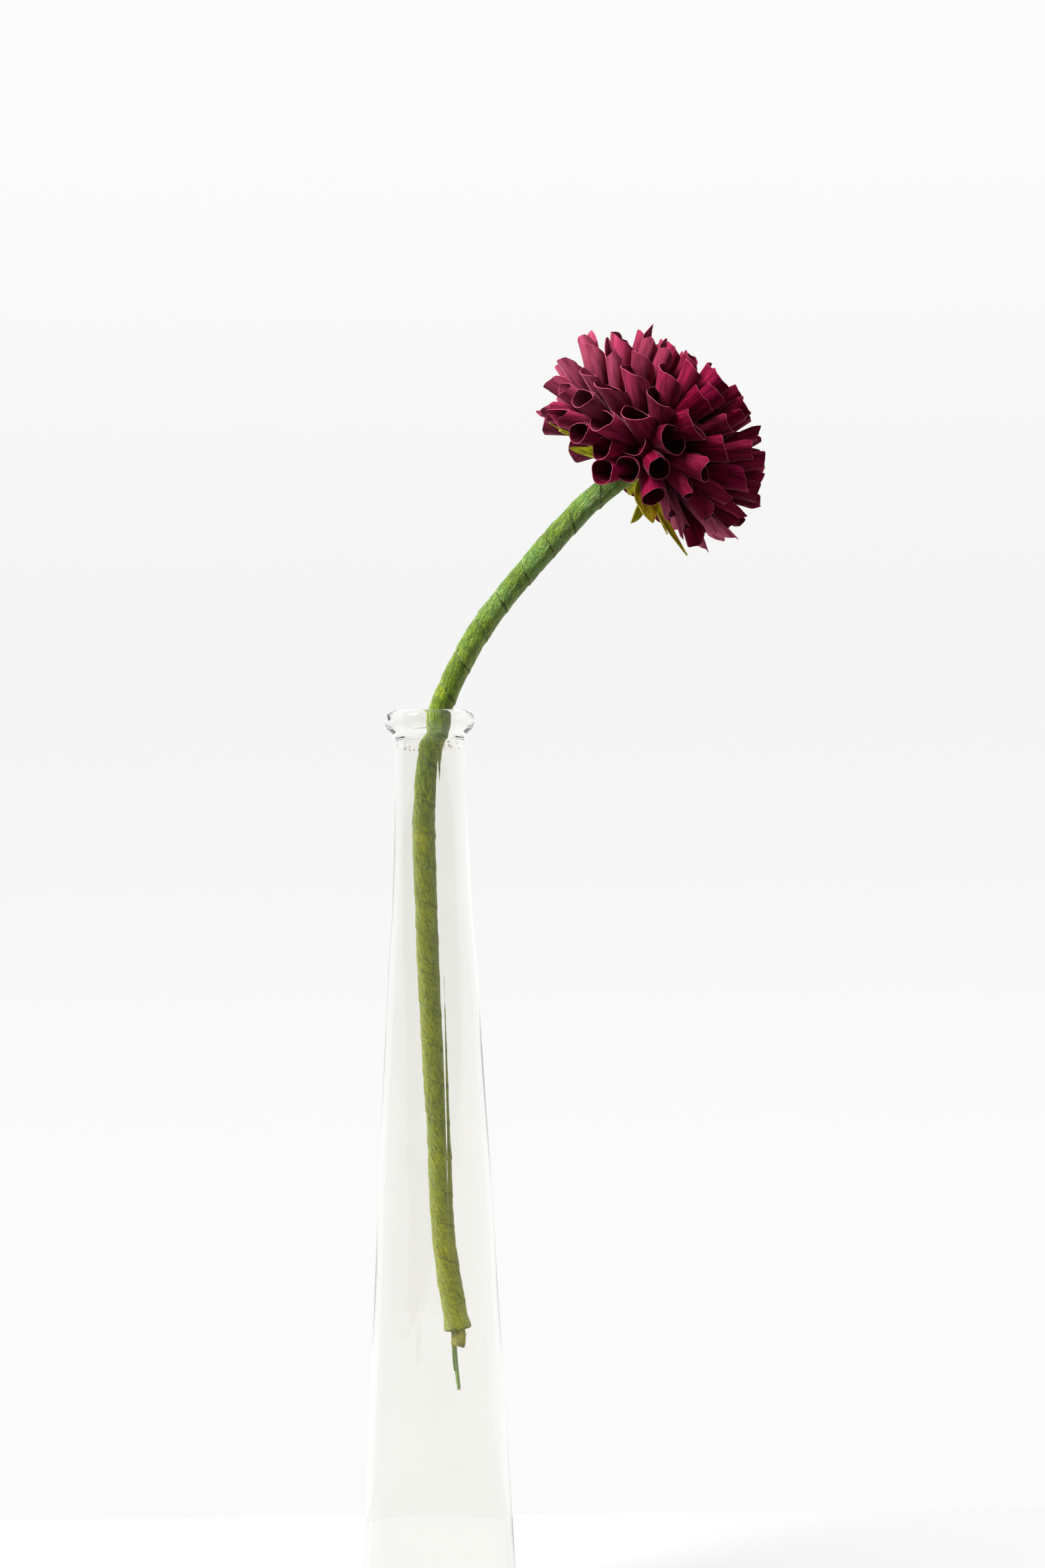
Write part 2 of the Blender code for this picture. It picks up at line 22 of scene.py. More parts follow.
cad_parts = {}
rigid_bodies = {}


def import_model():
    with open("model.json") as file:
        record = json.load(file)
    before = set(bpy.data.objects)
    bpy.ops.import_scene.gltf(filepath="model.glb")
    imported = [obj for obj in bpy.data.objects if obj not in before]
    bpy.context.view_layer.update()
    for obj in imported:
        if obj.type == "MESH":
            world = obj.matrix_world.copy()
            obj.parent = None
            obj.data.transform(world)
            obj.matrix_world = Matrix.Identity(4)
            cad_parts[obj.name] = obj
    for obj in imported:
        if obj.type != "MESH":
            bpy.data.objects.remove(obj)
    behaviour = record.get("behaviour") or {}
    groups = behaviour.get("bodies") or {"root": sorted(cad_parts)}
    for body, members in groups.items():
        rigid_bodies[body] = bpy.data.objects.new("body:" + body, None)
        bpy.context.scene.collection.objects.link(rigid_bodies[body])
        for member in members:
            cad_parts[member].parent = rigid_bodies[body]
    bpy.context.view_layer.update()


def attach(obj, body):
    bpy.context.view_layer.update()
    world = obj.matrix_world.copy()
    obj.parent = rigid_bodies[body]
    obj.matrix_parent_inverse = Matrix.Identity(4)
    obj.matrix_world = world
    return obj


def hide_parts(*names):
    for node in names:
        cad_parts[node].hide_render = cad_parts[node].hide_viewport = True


LOG = logging.getLogger("paper_dahlia")

MM = 0.001
BODY = "root"
SHEET = "sheet"
SHEET_UNIT = 40.0
WELD = 1e-6
CRISP_PAPER = 55.0
CRISP_LAP = 60.0
WHITE = (1.0, 1.0, 1.0, 1.0)

Colour = tuple[float, float, float]
Point = tuple[float, float, float]
Range = tuple[float, float]
Feed = Any
Socket = bpy.types.NodeSocket
Mesh = bpy.types.Mesh
Piece = bpy.types.Object
Material = bpy.types.Material


# Node trees


class NodeTree:
    """A node tree that is built one node at a time."""

    def __init__(self, tree: bpy.types.NodeTree) -> None:
        """Keeps the tree that new nodes go into."""
        self.tree = tree

    def add(self, kind: str, **settings: Any) -> bpy.types.Node:
        """Adds a node.

        Args:
            kind: The node's type name.
            settings: Properties that are set on the node.

        Returns:
            The new node.
        """
        node = self.tree.nodes.new(kind)
        for name, value in settings.items():
            setattr(node, name, value)
        return node

    def feed(self, target: Socket, source: Feed) -> None:
        """Gives an input either a link or a plain value.

        Args:
            target: The input socket.
            source: An output socket, or a number, colour or vector.
        """
        if isinstance(source, Socket):
            self.tree.links.new(source, target)
        else:
            target.default_value = source

    def result(self, kind: str, *values: Feed, **settings: Any) -> Socket:
        """Adds a node and feeds its first inputs in order.

        Args:
            kind: The node's type name.
            values: The inputs' values or sockets.
            settings: Properties that are set on the node.

        Returns:
            The node's first output.
        """
        node = self.add(kind, **settings)
        for socket, value in zip(node.inputs, values):
            self.feed(socket, value)
        return node.outputs[0]

    def fill(self, node: bpy.types.Node, **values: Feed) -> Socket:
        """Feeds a node's inputs by name.

        Args:
            node: The node.
            values: Values or sockets by input name, with _ for a space.

        Returns:
            The node's first output.
        """
        for name, value in values.items():
            self.feed(node.inputs[name.replace("_", " ")], value)
        return node.outputs[0]

    @staticmethod
    def shown(sockets: Iterable[Socket], name: str) -> Socket:
        """The socket of that name which the node's present mode uses."""
        return next(s for s in sockets if s.name == name and s.enabled)

    def maths(self, operation: str, *values: Feed, clamp: bool = False) -> Socket:
        """The result of a Math node, kept between 0 and 1 where clamp is set."""
        return self.result("ShaderNodeMath", *values, operation=operation, use_clamp=clamp)

    def vector_maths(self, operation: str, *values: Feed) -> Socket:
        """The vector that a Vector Math node gives."""
        return self.result("ShaderNodeVectorMath", *values, operation=operation)

    def dot(self, first: Feed, second: Feed) -> Socket:
        """The dot product of two vectors."""
        product = self.vector_maths("DOT_PRODUCT", first, second)
        return product.node.outputs["Value"]

    def times(self, first: Feed, second: Feed) -> Socket:
        """The product of two numbers."""
        return self.maths("MULTIPLY", first, second)

    def weighted(self, *parts: tuple[Feed, Feed]) -> Socket:
        """Adds values up, each times its weight.

        Args:
            parts: Pairs of a value and its weight.

        Returns:
            The sum's socket.
        """
        total = self.times(*parts[0])
        for value, weight in parts[1:]:
            total = self.maths("MULTIPLY_ADD", value, weight, total)
        return total

    def combine(self, x: Feed, y: Feed, z: Feed = 0.0) -> Socket:
        """A vector from three numbers."""
        return self.result("ShaderNodeCombineXYZ", x, y, z)

    def separate(self, vector: Feed) -> tuple[Socket, ...]:
        """A vector's three numbers."""
        return tuple(self.result("ShaderNodeSeparateXYZ", vector).node.outputs)

    def noise(
        self,
        vector: Feed,
        scale: float | Point,
        detail: float = 2.0,
        roughness: float = 0.5,
        distortion: float = 0.0,
    ) -> Socket:
        """Adds a Noise Texture.

        Args:
            vector: Where it is read.
            scale: Its scale, one number or one for each axis.
            detail: Its octaves.
            roughness: How strong the fine octaves are.
            distortion: How far the noise bends itself.

        Returns:
            The factor socket.
        """
        if isinstance(scale, tuple):
            vector = self.vector_maths("MULTIPLY", vector, scale)
            scale = 1.0
        node = self.add("ShaderNodeTexNoise")
        self.fill(node, Vector=vector, Scale=scale, Detail=detail)
        return self.fill(node, Roughness=roughness, Distortion=distortion)

    def remap(
        self, value: Feed, low: float, high: float, to_low: Feed = 0.0, to_high: Feed = 1.0
    ) -> Socket:
        """A value from low to high, mapped to another range, clamped and eased."""
        numbers = (value, low, high, to_low, to_high)
        return self.result("ShaderNodeMapRange", *numbers, interpolation_type="SMOOTHSTEP")

    def vary(self, noise: Feed, low: float, high: float) -> Socket:
        """A number from low to high that follows a noise, most of which lies from 0.3 to 0.7."""
        return self.remap(noise, 0.3, 0.7, low, high)


class Shader(NodeTree):
    """One material with a Principled shader."""

    def __init__(self, name: str) -> None:
        """Makes the material.

        Args:
            name: Its name.
        """
        self.material = bpy.data.materials.new(name)
        self.material.use_nodes = True
        super().__init__(self.material.node_tree)
        self.surface = self.tree.nodes["Principled BSDF"]

    def set(self, **values: Feed) -> None:
        """Feeds the Principled shader's inputs by name, with _ for a space."""
        self.fill(self.surface, **values)

    def sheet(self) -> Socket:
        """The place on the flat paper, across and along, from the piece's UV map."""
        return self.add("ShaderNodeUVMap", uv_map=SHEET).outputs[0]

    def place(self) -> Socket:
        """The place in the object's own coordinates, in metres."""
        return self.add("ShaderNodeTexCoord").outputs["Object"]

    def attribute(self, name: str) -> Socket:
        """The number that is stored on the mesh under a name."""
        return self.add("ShaderNodeAttribute", attribute_name=name).outputs["Fac"]

    def dots(self, scale: float) -> Socket:
        """The distance to the nearest of many scattered dots.

        Args:
            scale: About how many dots there are along a metre.

        Returns:
            The distance's socket, as a share of the dots' spacing.
        """
        node = self.add("ShaderNodeTexVoronoi", feature="F1")
        self.fill(node, Vector=self.place(), Scale=scale)
        return node.outputs["Distance"]

    def mix(self, factor: Feed, first: Feed, second: Feed, blend: str = "MIX") -> Socket:
        """Mixes two colours.

        Args:
            factor: How much of the second.
            first: A colour.
            second: A colour.
            blend: How they are mixed.

        Returns:
            The colour socket.
        """
        node = self.add("ShaderNodeMix", data_type="RGBA", blend_type=blend)
        for index, value in ((0, factor), (6, first), (7, second)):
            if isinstance(value, tuple):
                value = (*value, 1.0)
            self.feed(node.inputs[index], value)
        return node.outputs[2]

    def dim(self, colour: Feed, level: Feed) -> Socket:
        """A colour times a grey level."""
        return self.mix(1.0, colour, self.combine(level, level, level), "MULTIPLY")

    def ramp(self, factor: Feed, *stops: tuple[float, Colour]) -> Socket:
        """A colour that changes with a number.

        Args:
            factor: The number.
            stops: Places from 0 to 1, each with its colour.

        Returns:
            The colour socket.
        """
        node = self.add("ShaderNodeValToRGB")
        band = node.color_ramp
        while len(band.elements) < len(stops):
            band.elements.new(0.5)
        for element, (place, colour) in zip(band.elements, stops):
            element.position = place
            element.color = (*colour, 1.0)
        self.feed(node.inputs[0], factor)
        return node.outputs[0]

    def bump(self, height: Feed, distance: float) -> Socket:
        """A bumped normal, from a height of 0 to 1 and that height's size in metres."""
        return self.fill(self.add("ShaderNodeBump"), Strength=1.0, Distance=distance, Height=height)


class Grower(NodeTree):
    """A Geometry Nodes tree with named inputs, run on a mesh and then removed."""

    def __init__(self, name: str) -> None:
        """Makes a tree with one geometry input and output.

        Args:
            name: The tree's name.
        """
        group = bpy.data.node_groups.new(name, "GeometryNodeTree")
        for way in ("INPUT", "OUTPUT"):
            group.interface.new_socket("Geometry", in_out=way, socket_type="NodeSocketGeometry")
        super().__init__(group)
        self.entry = self.add("NodeGroupInput")
        self.exit = self.add("NodeGroupOutput")
        self.identifiers: dict[str, str] = {}

    def ask(self, name: str, kind: str, default: Any = None) -> Socket:
        """Adds a named input to the tree.

        Args:
            name: The input's name.
            kind: The type of socket, such as Float.
            default: The input's default value.

        Returns:
            The socket inside the tree.
        """
        kind = f"NodeSocket{kind}"
        item = self.tree.interface.new_socket(name, in_out="INPUT", socket_type=kind)
        if default is not None:
            item.default_value = default
        self.identifiers[name] = item.identifier
        return self.entry.outputs[name]

    def named(self, name: str, data_type: str = "FLOAT") -> Socket:
        """Reads an attribute.

        Args:
            name: The attribute's name.
            data_type: Its type.

        Returns:
            The attribute's socket.
        """
        node = self.add("GeometryNodeInputNamedAttribute", data_type=data_type)
        node.inputs["Name"].default_value = name
        return self.shown(node.outputs, "Attribute")

    def store(
        self, geometry: Socket, name: str, value: Feed, domain: str = "POINT", data_type: str = "FLOAT"
    ) -> Socket:
        """Writes an attribute.

        Args:
            geometry: What it is written on.
            name: The attribute's name.
            value: Its value.
            domain: Its domain.
            data_type: Its type.

        Returns:
            The geometry socket.
        """
        node = self.add("GeometryNodeStoreNamedAttribute", domain=domain, data_type=data_type)
        self.feed(self.shown(node.inputs, "Value"), value)
        return self.fill(node, Geometry=geometry, Name=name)

    def chance(self, seed: Feed) -> Socket:
        """A seeded random number from 0 to 1 for each element.

        Args:
            seed: The seed.

        Returns:
            The number's socket.
        """
        node = self.add("FunctionNodeRandomValue", data_type="FLOAT")
        self.feed(self.shown(node.inputs, "Seed"), seed)
        return self.shown(node.outputs, "Value")

    def close(self, geometry: Socket, finish: Socket) -> None:
        """Ends the tree with Realize Instances and Set Material.

        Args:
            geometry: The geometry so far.
            finish: The material's socket.
        """
        real = self.result("GeometryNodeRealizeInstances", geometry)
        coat = self.add("GeometryNodeSetMaterial")
        self.feed(self.exit.inputs[0], self.fill(coat, Geometry=real, Material=finish))

    def run(self, seed_mesh: Mesh, name: str, **values: Any) -> Piece:
        """Runs the tree and keeps the result as a plain mesh object.

        Args:
            seed_mesh: The mesh that the tree starts from.
            name: The new object's name.
            values: Values by input name, with _ for a space.

        Returns:
            The new object.
        """
        carrier = link_object(name + ".seed", seed_mesh)
        modifier = carrier.modifiers.new("grow", "NODES")
        modifier.node_group = self.tree
        for label, value in values.items():
            modifier[self.identifiers[label.replace("_", " ")]] = value
        bpy.context.view_layer.update()
        graph = bpy.context.evaluated_depsgraph_get()
        made = bpy.data.meshes.new_from_object(carrier.evaluated_get(graph))
        carrier.modifiers.clear()
        bpy.data.objects.remove(carrier, do_unlink=True)
        made.name = name
        return link_object(name, made)


# Mesh helpers


def link_object(name: str, mesh: Mesh) -> Piece:
    """Puts a mesh into the scene.

    Args:
        name: The object's name.
        mesh: The mesh.

    Returns:
        The new object.
    """
    thing = bpy.data.objects.new(name, mesh)
    bpy.context.scene.collection.objects.link(thing)
    return thing


def mesh_from(
    name: str,
    points: np.ndarray,
    faces: Sequence[Sequence[int]] = (),
    edges: Sequence[Sequence[int]] = (),
) -> Mesh:
    """Makes a mesh.

    Args:
        name: The mesh's name.
        points: The points, in metres.
        faces: The faces' point numbers.
        edges: The loose edges' point numbers.

    Returns:
        The new mesh.
    """
    mesh = bpy.data.meshes.new(name)
    mesh.from_pydata([tuple(map(float, point)) for point in points], edges, faces)
    mesh.update()
    return mesh


def face_outwards(mesh: Mesh) -> None:
    """Merges doubles and turns every face of a closed mesh outwards.

    Args:
        mesh: The mesh.
    """
    work = bmesh.new()
    work.from_mesh(mesh)
    bmesh.ops.remove_doubles(work, verts=work.verts, dist=WELD)
    bmesh.ops.recalc_face_normals(work, faces=work.faces)
    work.to_mesh(mesh)
    work.free()


def smooth_shading(mesh: Mesh, crease: float = 50.0) -> None:
    """Shades a mesh smooth, apart from edges past an angle in degrees."""
    mesh.shade_smooth()
    mesh.set_sharp_from_angle(angle=math.radians(crease))


def write_sheet(mesh: Mesh, places: np.ndarray) -> None:
    """Stores a place on the flat paper for each face corner.

    Args:
        mesh: The mesh.
        places: Across and along for each point, in millimetres.
    """
    layer = mesh.uv_layers.new(name=SHEET)
    corners = np.zeros(len(mesh.loops), dtype=np.int32)
    mesh.loops.foreach_get("vertex_index", corners)
    layer.data.foreach_set("uv", (places[corners] / SHEET_UNIT).astype(np.float32).ravel())


def write_points(mesh: Mesh, name: str, values: np.ndarray) -> None:
    """Stores a number, whole number or vector for each point.

    Args:
        mesh: The mesh.
        name: The attribute's name.
        values: The values, one row for each point.
    """
    if values.ndim == 2:
        kind, label, number = "FLOAT_VECTOR", "vector", np.float32
    elif values.dtype.kind == "i":
        kind, label, number = "INT", "value", np.int32
    else:
        kind, label, number = "FLOAT", "value", np.float32
    stored = mesh.attributes.new(name, kind, "POINT").data
    stored.foreach_set(label, values.astype(number).ravel())


def declare(piece: Piece, node: str) -> None:
    """Attaches a piece to the body and hides the CAD node that it stands for.

    Args:
        piece: The finished piece.
        node: The CAD node that it replaces.
    """
    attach(piece, BODY)
    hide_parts(node)
    LOG.info("%s: %d faces", piece.name, len(piece.data.polygons))


def smooth_line(knots: Sequence[Sequence[float]], step: float) -> np.ndarray:
    """Evenly spaced points on a smooth curve through some knots.

    Args:
        knots: The points that the curve passes.
        step: The distance between the points.

    Returns:
        The points, one a row.
    """
    given = np.array(knots, dtype=float)
    padded = np.vstack([2 * given[0] - given[1], given, 2 * given[-1] - given[-2]])
    shares = np.linspace(0.0, 1.0, 24, endpoint=False)[:, None]
    dense = []
    for i in range(1, len(padded) - 2):
        before, start, end, after = padded[i - 1 : i + 3]
        slope = end - before
        bend = 2 * before - 5 * start + 4 * end - after
        twist = 3 * start - before - 3 * end + after
        dense.append((2 * start + slope * shares + bend * shares**2 + twist * shares**3) / 2)
    places = np.vstack([*dense, padded[-2]])
    walked = np.concatenate([[0.0], np.cumsum(np.linalg.norm(np.diff(places, axis=0), axis=1))])
    wanted = np.linspace(0.0, walked[-1], max(2, round(walked[-1] / step) + 1))
    return np.column_stack([np.interp(wanted, walked, places[:, axis]) for axis in range(3)])


def grid_faces(rows: int, columns: int, start: int = 0, flip: bool = False) -> list[tuple[int, ...]]:
    """Quads of a grid of points numbered row by row.

    Args:
        rows: Rows of points.
        columns: Points in a row.
        start: The first point's number.
        flip: Whether the faces turn the other way.

    Returns:
        The faces.
    """
    faces = []
    for i in range(rows - 1):
        for j in range(columns - 1):
            a = start + i * columns + j
            face = (a, a + 1, a + columns + 1, a + columns)
            faces.append(face[::-1] if flip else face)
    return faces


def ring_faces(rings: int, turns: int, joined: bool = False) -> list[tuple[int, ...]]:
    """Quads between rings of points, each ring going once round.

    Args:
        rings: How many rings there are.
        turns: Points in a ring.
        joined: Whether the last ring joins the first.

    Returns:
        The faces.
    """
    faces = []
    for i in range(rings if joined else rings - 1):
        low, high = i * turns, (i + 1) % rings * turns
        for k in range(turns):
            after = (k + 1) % turns
            faces.append((low + k, low + after, high + after, high + k))
    return faces


def turned_points(rings: Sequence[tuple[np.ndarray, float]], angles: np.ndarray) -> np.ndarray:
    """Points of rings that stand one above another round Z.

    Args:
        rings: Each ring's radii, one for each angle, and its height.
        angles: The points' azimuths in radians.

    Returns:
        The points, one a row, ring by ring.
    """
    ways = np.column_stack([np.cos(angles), np.sin(angles)])
    stacked = [
        np.column_stack([ways * radii[:, None], np.full(len(angles), height)])
        for radii, height in rings
    ]
    return np.vstack(stacked)


def paper_shell(name: str, middle: np.ndarray, places: np.ndarray, thickness: float) -> Mesh:
    """A thin closed sheet from a grid of points, with its cut edges marked.

    Args:
        name: The mesh's name.
        middle: Rows by columns by 3, the sheet's surface in millimetres.
        places: Rows by columns by 2, the places on the flat paper in millimetres.
        thickness: The paper's thickness in millimetres.

    Returns:
        The mesh, with its UV map and two point attributes: "rim", 1 on a cut edge,
        and "inside", 1 on the front side, which a rolled petal has inside.
    """
    rows, columns, _ = middle.shape
    along = np.gradient(middle, axis=0)
    across = np.gradient(middle, axis=1)
    normals = np.cross(across, along)
    normals /= np.maximum(np.linalg.norm(normals, axis=2, keepdims=True), 1e-9)
    front = middle + normals * thickness / 2
    back = middle - normals * thickness / 2
    count = rows * columns
    points = np.vstack([front.reshape(-1, 3), back.reshape(-1, 3)]) * MM
    faces = grid_faces(rows, columns) + grid_faces(rows, columns, count, flip=True)
    loop = list(range(columns))
    loop += [i * columns + columns - 1 for i in range(1, rows)]
    loop += [(rows - 1) * columns + j for j in range(columns - 2, -1, -1)]
    loop += [i * columns for i in range(rows - 2, 0, -1)]
    for a, b in zip(loop, loop[1:] + loop[:1]):
        faces.append((b, a, a + count, b + count))
    mesh = mesh_from(name, points, faces)
    write_sheet(mesh, np.vstack([places.reshape(-1, 2)] * 2))
    # A cut edge is fully pale at the mouth and a little less down the sides.
    rim = np.zeros((rows, columns))
    rim[:, (0, -1)] = 0.8
    rim[-1, :] = 1.0
    write_points(mesh, "rim", np.concatenate([rim.ravel(), rim.ravel()]))
    write_points(mesh, "inside", np.repeat([1.0, 0.0], count))
    return mesh


# Finishes


class Finish:
    """A finish that wires one material."""

    name: str

    def material(self) -> Material:
        """Builds the material.

        Returns:
            The new material.
        """
        tree = Shader(self.name)
        self.paint(tree)
        return tree.material

    def paint(self, tree: Shader) -> None:
        """Wires the nodes, which each finish does in its own way."""
        raise NotImplementedError


@dataclass(frozen=True)
class CrepePaper(Finish):
    """Stretched crepe paper, with lengthwise grain and a pale fibrous cut edge.

    Grains are counts across and along 40 mm of the sheet. The two painted shade ranges,
    towards the root and inside the mouth, are shares of 40 mm along a petal, from its root.
    """

    name: str
    deep: Colour
    main: Colour
    light: Colour
    edge: Colour
    edge_strength: float = 0.5
    streak: float = 0.28
    root_painted_shade: float = 0.25
    inner_painted_shade: float = 0.3
    root_painted_shade_span: Range = (0.2, 0.68)
    inner_painted_shade_span: Range = (0.69, 0.81)
    fine_grain: Point = (52.0, 6.0, 1.0)
    broad_grain: Point = (17.0, 3.0, 1.0)
    fibre_grain: Point = (90.0, 60.0, 1.0)
    patch_scale: float = 55.0
    petal_shift: Point = (7.3, 3.1, 0.0)
    relief: float = 0.32
    roughness: float = 0.7
    gloss: float = 0.03
    sheen: float = 0.19
    sheen_roughness: float = 0.28
    sheen_tint: Colour = (1.0, 0.38, 0.6)

    def paint(self, tree: Shader) -> None:
        """Wires the grain, the painted shade at the root and inside, the painted light and the pale cut
        edge.

        Args:
            tree: The material's nodes.
        """
        tone = tree.attribute("tone")
        # pale is painted light: petals that face the lit side are painted paler.
        pale = tree.attribute("pale")
        flat = tree.sheet()
        _, along, _ = tree.separate(flat)
        sheet = tree.vector_maths("MULTIPLY_ADD", tree.combine(tone, tone), self.petal_shift, flat)
        fine = tree.noise(sheet, self.fine_grain, 2.0, 0.6)
        broad = tree.noise(sheet, self.broad_grain, 2.0, 0.5, 0.4)
        fibres = tree.noise(sheet, self.fibre_grain, 3.0, 0.7)
        patches = tree.noise(tree.place(), self.patch_scale, 3.0, 0.55)
        grain = tree.weighted((fine, 0.45), (broad, 0.55))
        shade = tree.weighted((patches, 0.5), (tone, 0.5))
        body = tree.ramp(shade, (0.2, self.deep), (0.5, self.main), (0.8, self.light))
        # Painted light and shade on the crinkles: lighter on crests, darker in creases.
        body = tree.dim(body, tree.remap(grain, 0.35, 0.66, 0.5, 1.4))
        body = tree.mix(tree.times(tree.remap(fine, 0.52, 0.7), self.streak), body, self.light)
        # The edge colour is mixed in where the paper is faded, and as painted light where pale is set.
        fade_and_painted_light = tree.maths("ADD", tree.attribute("fade"), pale, clamp=True)
        fade_and_painted_light = tree.times(fade_and_painted_light, tree.remap(broad, 0.3, 0.6, 0.45, 1.0))
        body = tree.mix(fade_and_painted_light, body, self.edge)
        # Painted shade: darker towards the root and inside the mouth, less inside petals with painted
        # light.
        root = tree.remap(along, *self.root_painted_shade_span, self.root_painted_shade, 1.0)
        mouth = tree.remap(along, *self.inner_painted_shade_span, self.inner_painted_shade, 1.0)
        mouth = tree.maths("MAXIMUM", mouth, tree.times(pale, 1.5))
        inner = tree.remap(tree.attribute("inside"), 0.2, 0.8, 1.0, mouth)
        body = tree.dim(body, tree.times(root, inner))
        rim = tree.remap(tree.attribute("rim"), 0.35, 0.95)
        rim = tree.times(rim, tree.remap(fibres, 0.3, 0.62, 0.35, self.edge_strength))
        tree.set(
            Base_Color=tree.mix(rim, body, self.edge),
            Roughness=tree.vary(grain, self.roughness + 0.12, self.roughness - 0.08),
            Specular_IOR_Level=self.gloss,
            Sheen_Weight=self.sheen,
            Sheen_Roughness=self.sheen_roughness,
            Sheen_Tint=(*self.sheen_tint, 1.0),
            Normal=tree.bump(tree.weighted((grain, 1.0), (fibres, 0.15)), self.relief * MM),
        )


@dataclass(frozen=True)
class StemPaper(Finish):
    """Green crepe paper wound round a stem, with diagonal creases in painted light and shade, and lap seams
    darkened by painted shade.

    Grains are counts round the stem and across one lap. Ranges with a height in their
    name are metres above the floor.
    """

    name: str
    deep: Colour
    main: Colour
    pale: Colour
    bluish: Colour
    olive: Colour
    # The colour of the painted shade under each lap's edge.
    seam: Colour = (0.008, 0.016, 0.003)
    bluish_heights: Range = (0.34, 0.41)
    olive_heights: Range = (0.28, 0.36)
    pale_heights: Range = (0.12, 0.2)
    seam_heights: Range = (0.3, 0.37)
    seam_width: Range = (0.008, 0.04)
    wrinkle_grain: Point = (28.0, 4.0, 1.0)
    fine_grain: Point = (54.0, 8.0, 1.0)
    fibre_scale: float = 900.0
    patch_scale: float = 60.0
    slant: float = 0.16
    turn_shift: float = 3.7
    relief: float = 1.8
    gloss: float = 0.38
    sheen: float = 0.85
    sheen_roughness: float = 0.2
    sheen_tint: Colour = (0.85, 1.0, 0.42)

    def paint(self, tree: Shader) -> None:
        """Wires the creases with painted light and shade, the change of green up the stem and the painted
        shade at the laps.

        Args:
            tree: The material's nodes.
        """
        phase = tree.attribute("phase")
        around, _, _ = tree.separate(tree.sheet())
        _, _, height = tree.separate(tree.place())
        lap = tree.maths("FRACT", phase)
        turns = tree.maths("FLOOR", phase)
        run = tree.maths("SUBTRACT", around, turns)
        slanted = tree.weighted((run, 1.0), (lap, self.slant))
        strip = tree.combine(slanted, lap, tree.times(turns, self.turn_shift))
        wrinkles = tree.noise(strip, self.wrinkle_grain, 3.0, 0.62, 0.8)
        fine = tree.noise(strip, self.fine_grain, 3.0, 0.65, 0.6)
        fibres = tree.noise(tree.place(), self.fibre_scale, 3.0, 0.7)
        patches = tree.noise(tree.place(), self.patch_scale, 3.0, 0.6, 0.4)
        tone = tree.weighted((wrinkles, 0.4), (patches, 0.6))
        body = tree.ramp(tone, (0.38, self.deep), (0.5, self.main), (0.64, self.pale))
        near_bloom = tree.remap(height, *self.bluish_heights)
        near_bloom = tree.times(near_bloom, tree.remap(patches, 0.42, 0.62, 0.1, 0.8))
        body = tree.mix(near_bloom, body, self.bluish)
        body = tree.mix(tree.remap(height, *self.olive_heights, 0.55, 0.0), body, self.olive)
        body = tree.mix(tree.remap(height, *self.pale_heights, 0.7, 0.0), body, self.pale)
        relief = tree.weighted((fine, 0.35), (wrinkles, 0.3), (fibres, 0.35))
        # Painted light and shade on the creases: lighter on crests, darker in creases.
        body = tree.dim(body, tree.remap(relief, 0.4, 0.6, 0.6, 1.34))
        # Painted shade along each lap's edge, broken up by patches and fainter low on the stem.
        edge = tree.maths("MINIMUM", lap, tree.maths("SUBTRACT", 1.0, lap))
        seam = tree.remap(edge, *self.seam_width, 1.0, 0.0)
        seam = tree.times(seam, tree.remap(patches, 0.4, 0.56, 0.15, 0.85))
        seam = tree.times(seam, tree.remap(height, *self.seam_heights, 0.45, 1.0))
        raised = tree.weighted((wrinkles, 0.65), (fine, 0.35), (fibres, 0.2), (seam, -0.5))
        tree.set(
            Base_Color=tree.mix(seam, body, self.seam),
            Roughness=tree.vary(wrinkles, 0.5, 0.32),
            Specular_IOR_Level=self.gloss,
            Sheen_Weight=self.sheen,
            Sheen_Roughness=self.sheen_roughness,
            Sheen_Tint=(*self.sheen_tint, 1.0),
            Normal=tree.bump(raised, self.relief * MM),
        )


@dataclass(frozen=True)
class CutPaper(Finish):
    """The rolled paper core, pale and fibrous where it is cut."""

    name: str
    dark: Colour
    pale: Colour
    strand_grain: Point = (900.0, 900.0, 160.0)
    patch_scale: float = 320.0
    relief: float = 0.4

    def paint(self, tree: Shader) -> None:
        """Wires the strands and patches of the cut roll.

        Args:
            tree: The material's nodes.
        """
        strands = tree.noise(tree.place(), self.strand_grain, 4.0, 0.65, 0.6)
        patches = tree.noise(tree.place(), self.patch_scale, 3.0, 0.6)
        mixed = tree.weighted((strands, 0.6), (patches, 0.4))
        tree.set(
            Base_Color=tree.ramp(mixed, (0.36, self.dark), (0.6, self.pale)),
            Roughness=tree.vary(strands, 0.85, 0.65),
            Normal=tree.bump(strands, self.relief * MM),
        )


@dataclass(frozen=True)
class PaintedWire(Finish):
    """Thin steel wire under dark green lacquer, bare and bright at its cut end."""

    name: str
    lacquer: Colour
    steel: Colour
    bare_below: float
    bare_fade: float = 0.0006
    unevenness: float = 0.0012
    scuff_scale: float = 700.0
    relief: float = 0.08

    def paint(self, tree: Shader) -> None:
        """Wires the lacquer, its scuffs and the bare end.

        Args:
            tree: The material's nodes.
        """
        scuffs = tree.noise(tree.place(), self.scuff_scale, 3.0, 0.6)
        _, _, height = tree.separate(tree.place())
        uneven = tree.weighted((height, 1.0), (scuffs, self.unevenness))
        bare = tree.remap(uneven, self.bare_below, self.bare_below + self.bare_fade, 1.0, 0.0)
        worn = tree.maths("MAXIMUM", bare, tree.remap(scuffs, 0.6, 0.72, 0.0, 0.35))
        tree.set(
            Base_Color=tree.mix(worn, self.lacquer, self.steel),
            Metallic=tree.times(worn, 0.8),
            Roughness=tree.vary(scuffs, 0.3, 0.5),
            Normal=tree.bump(scuffs, self.relief * MM),
        )


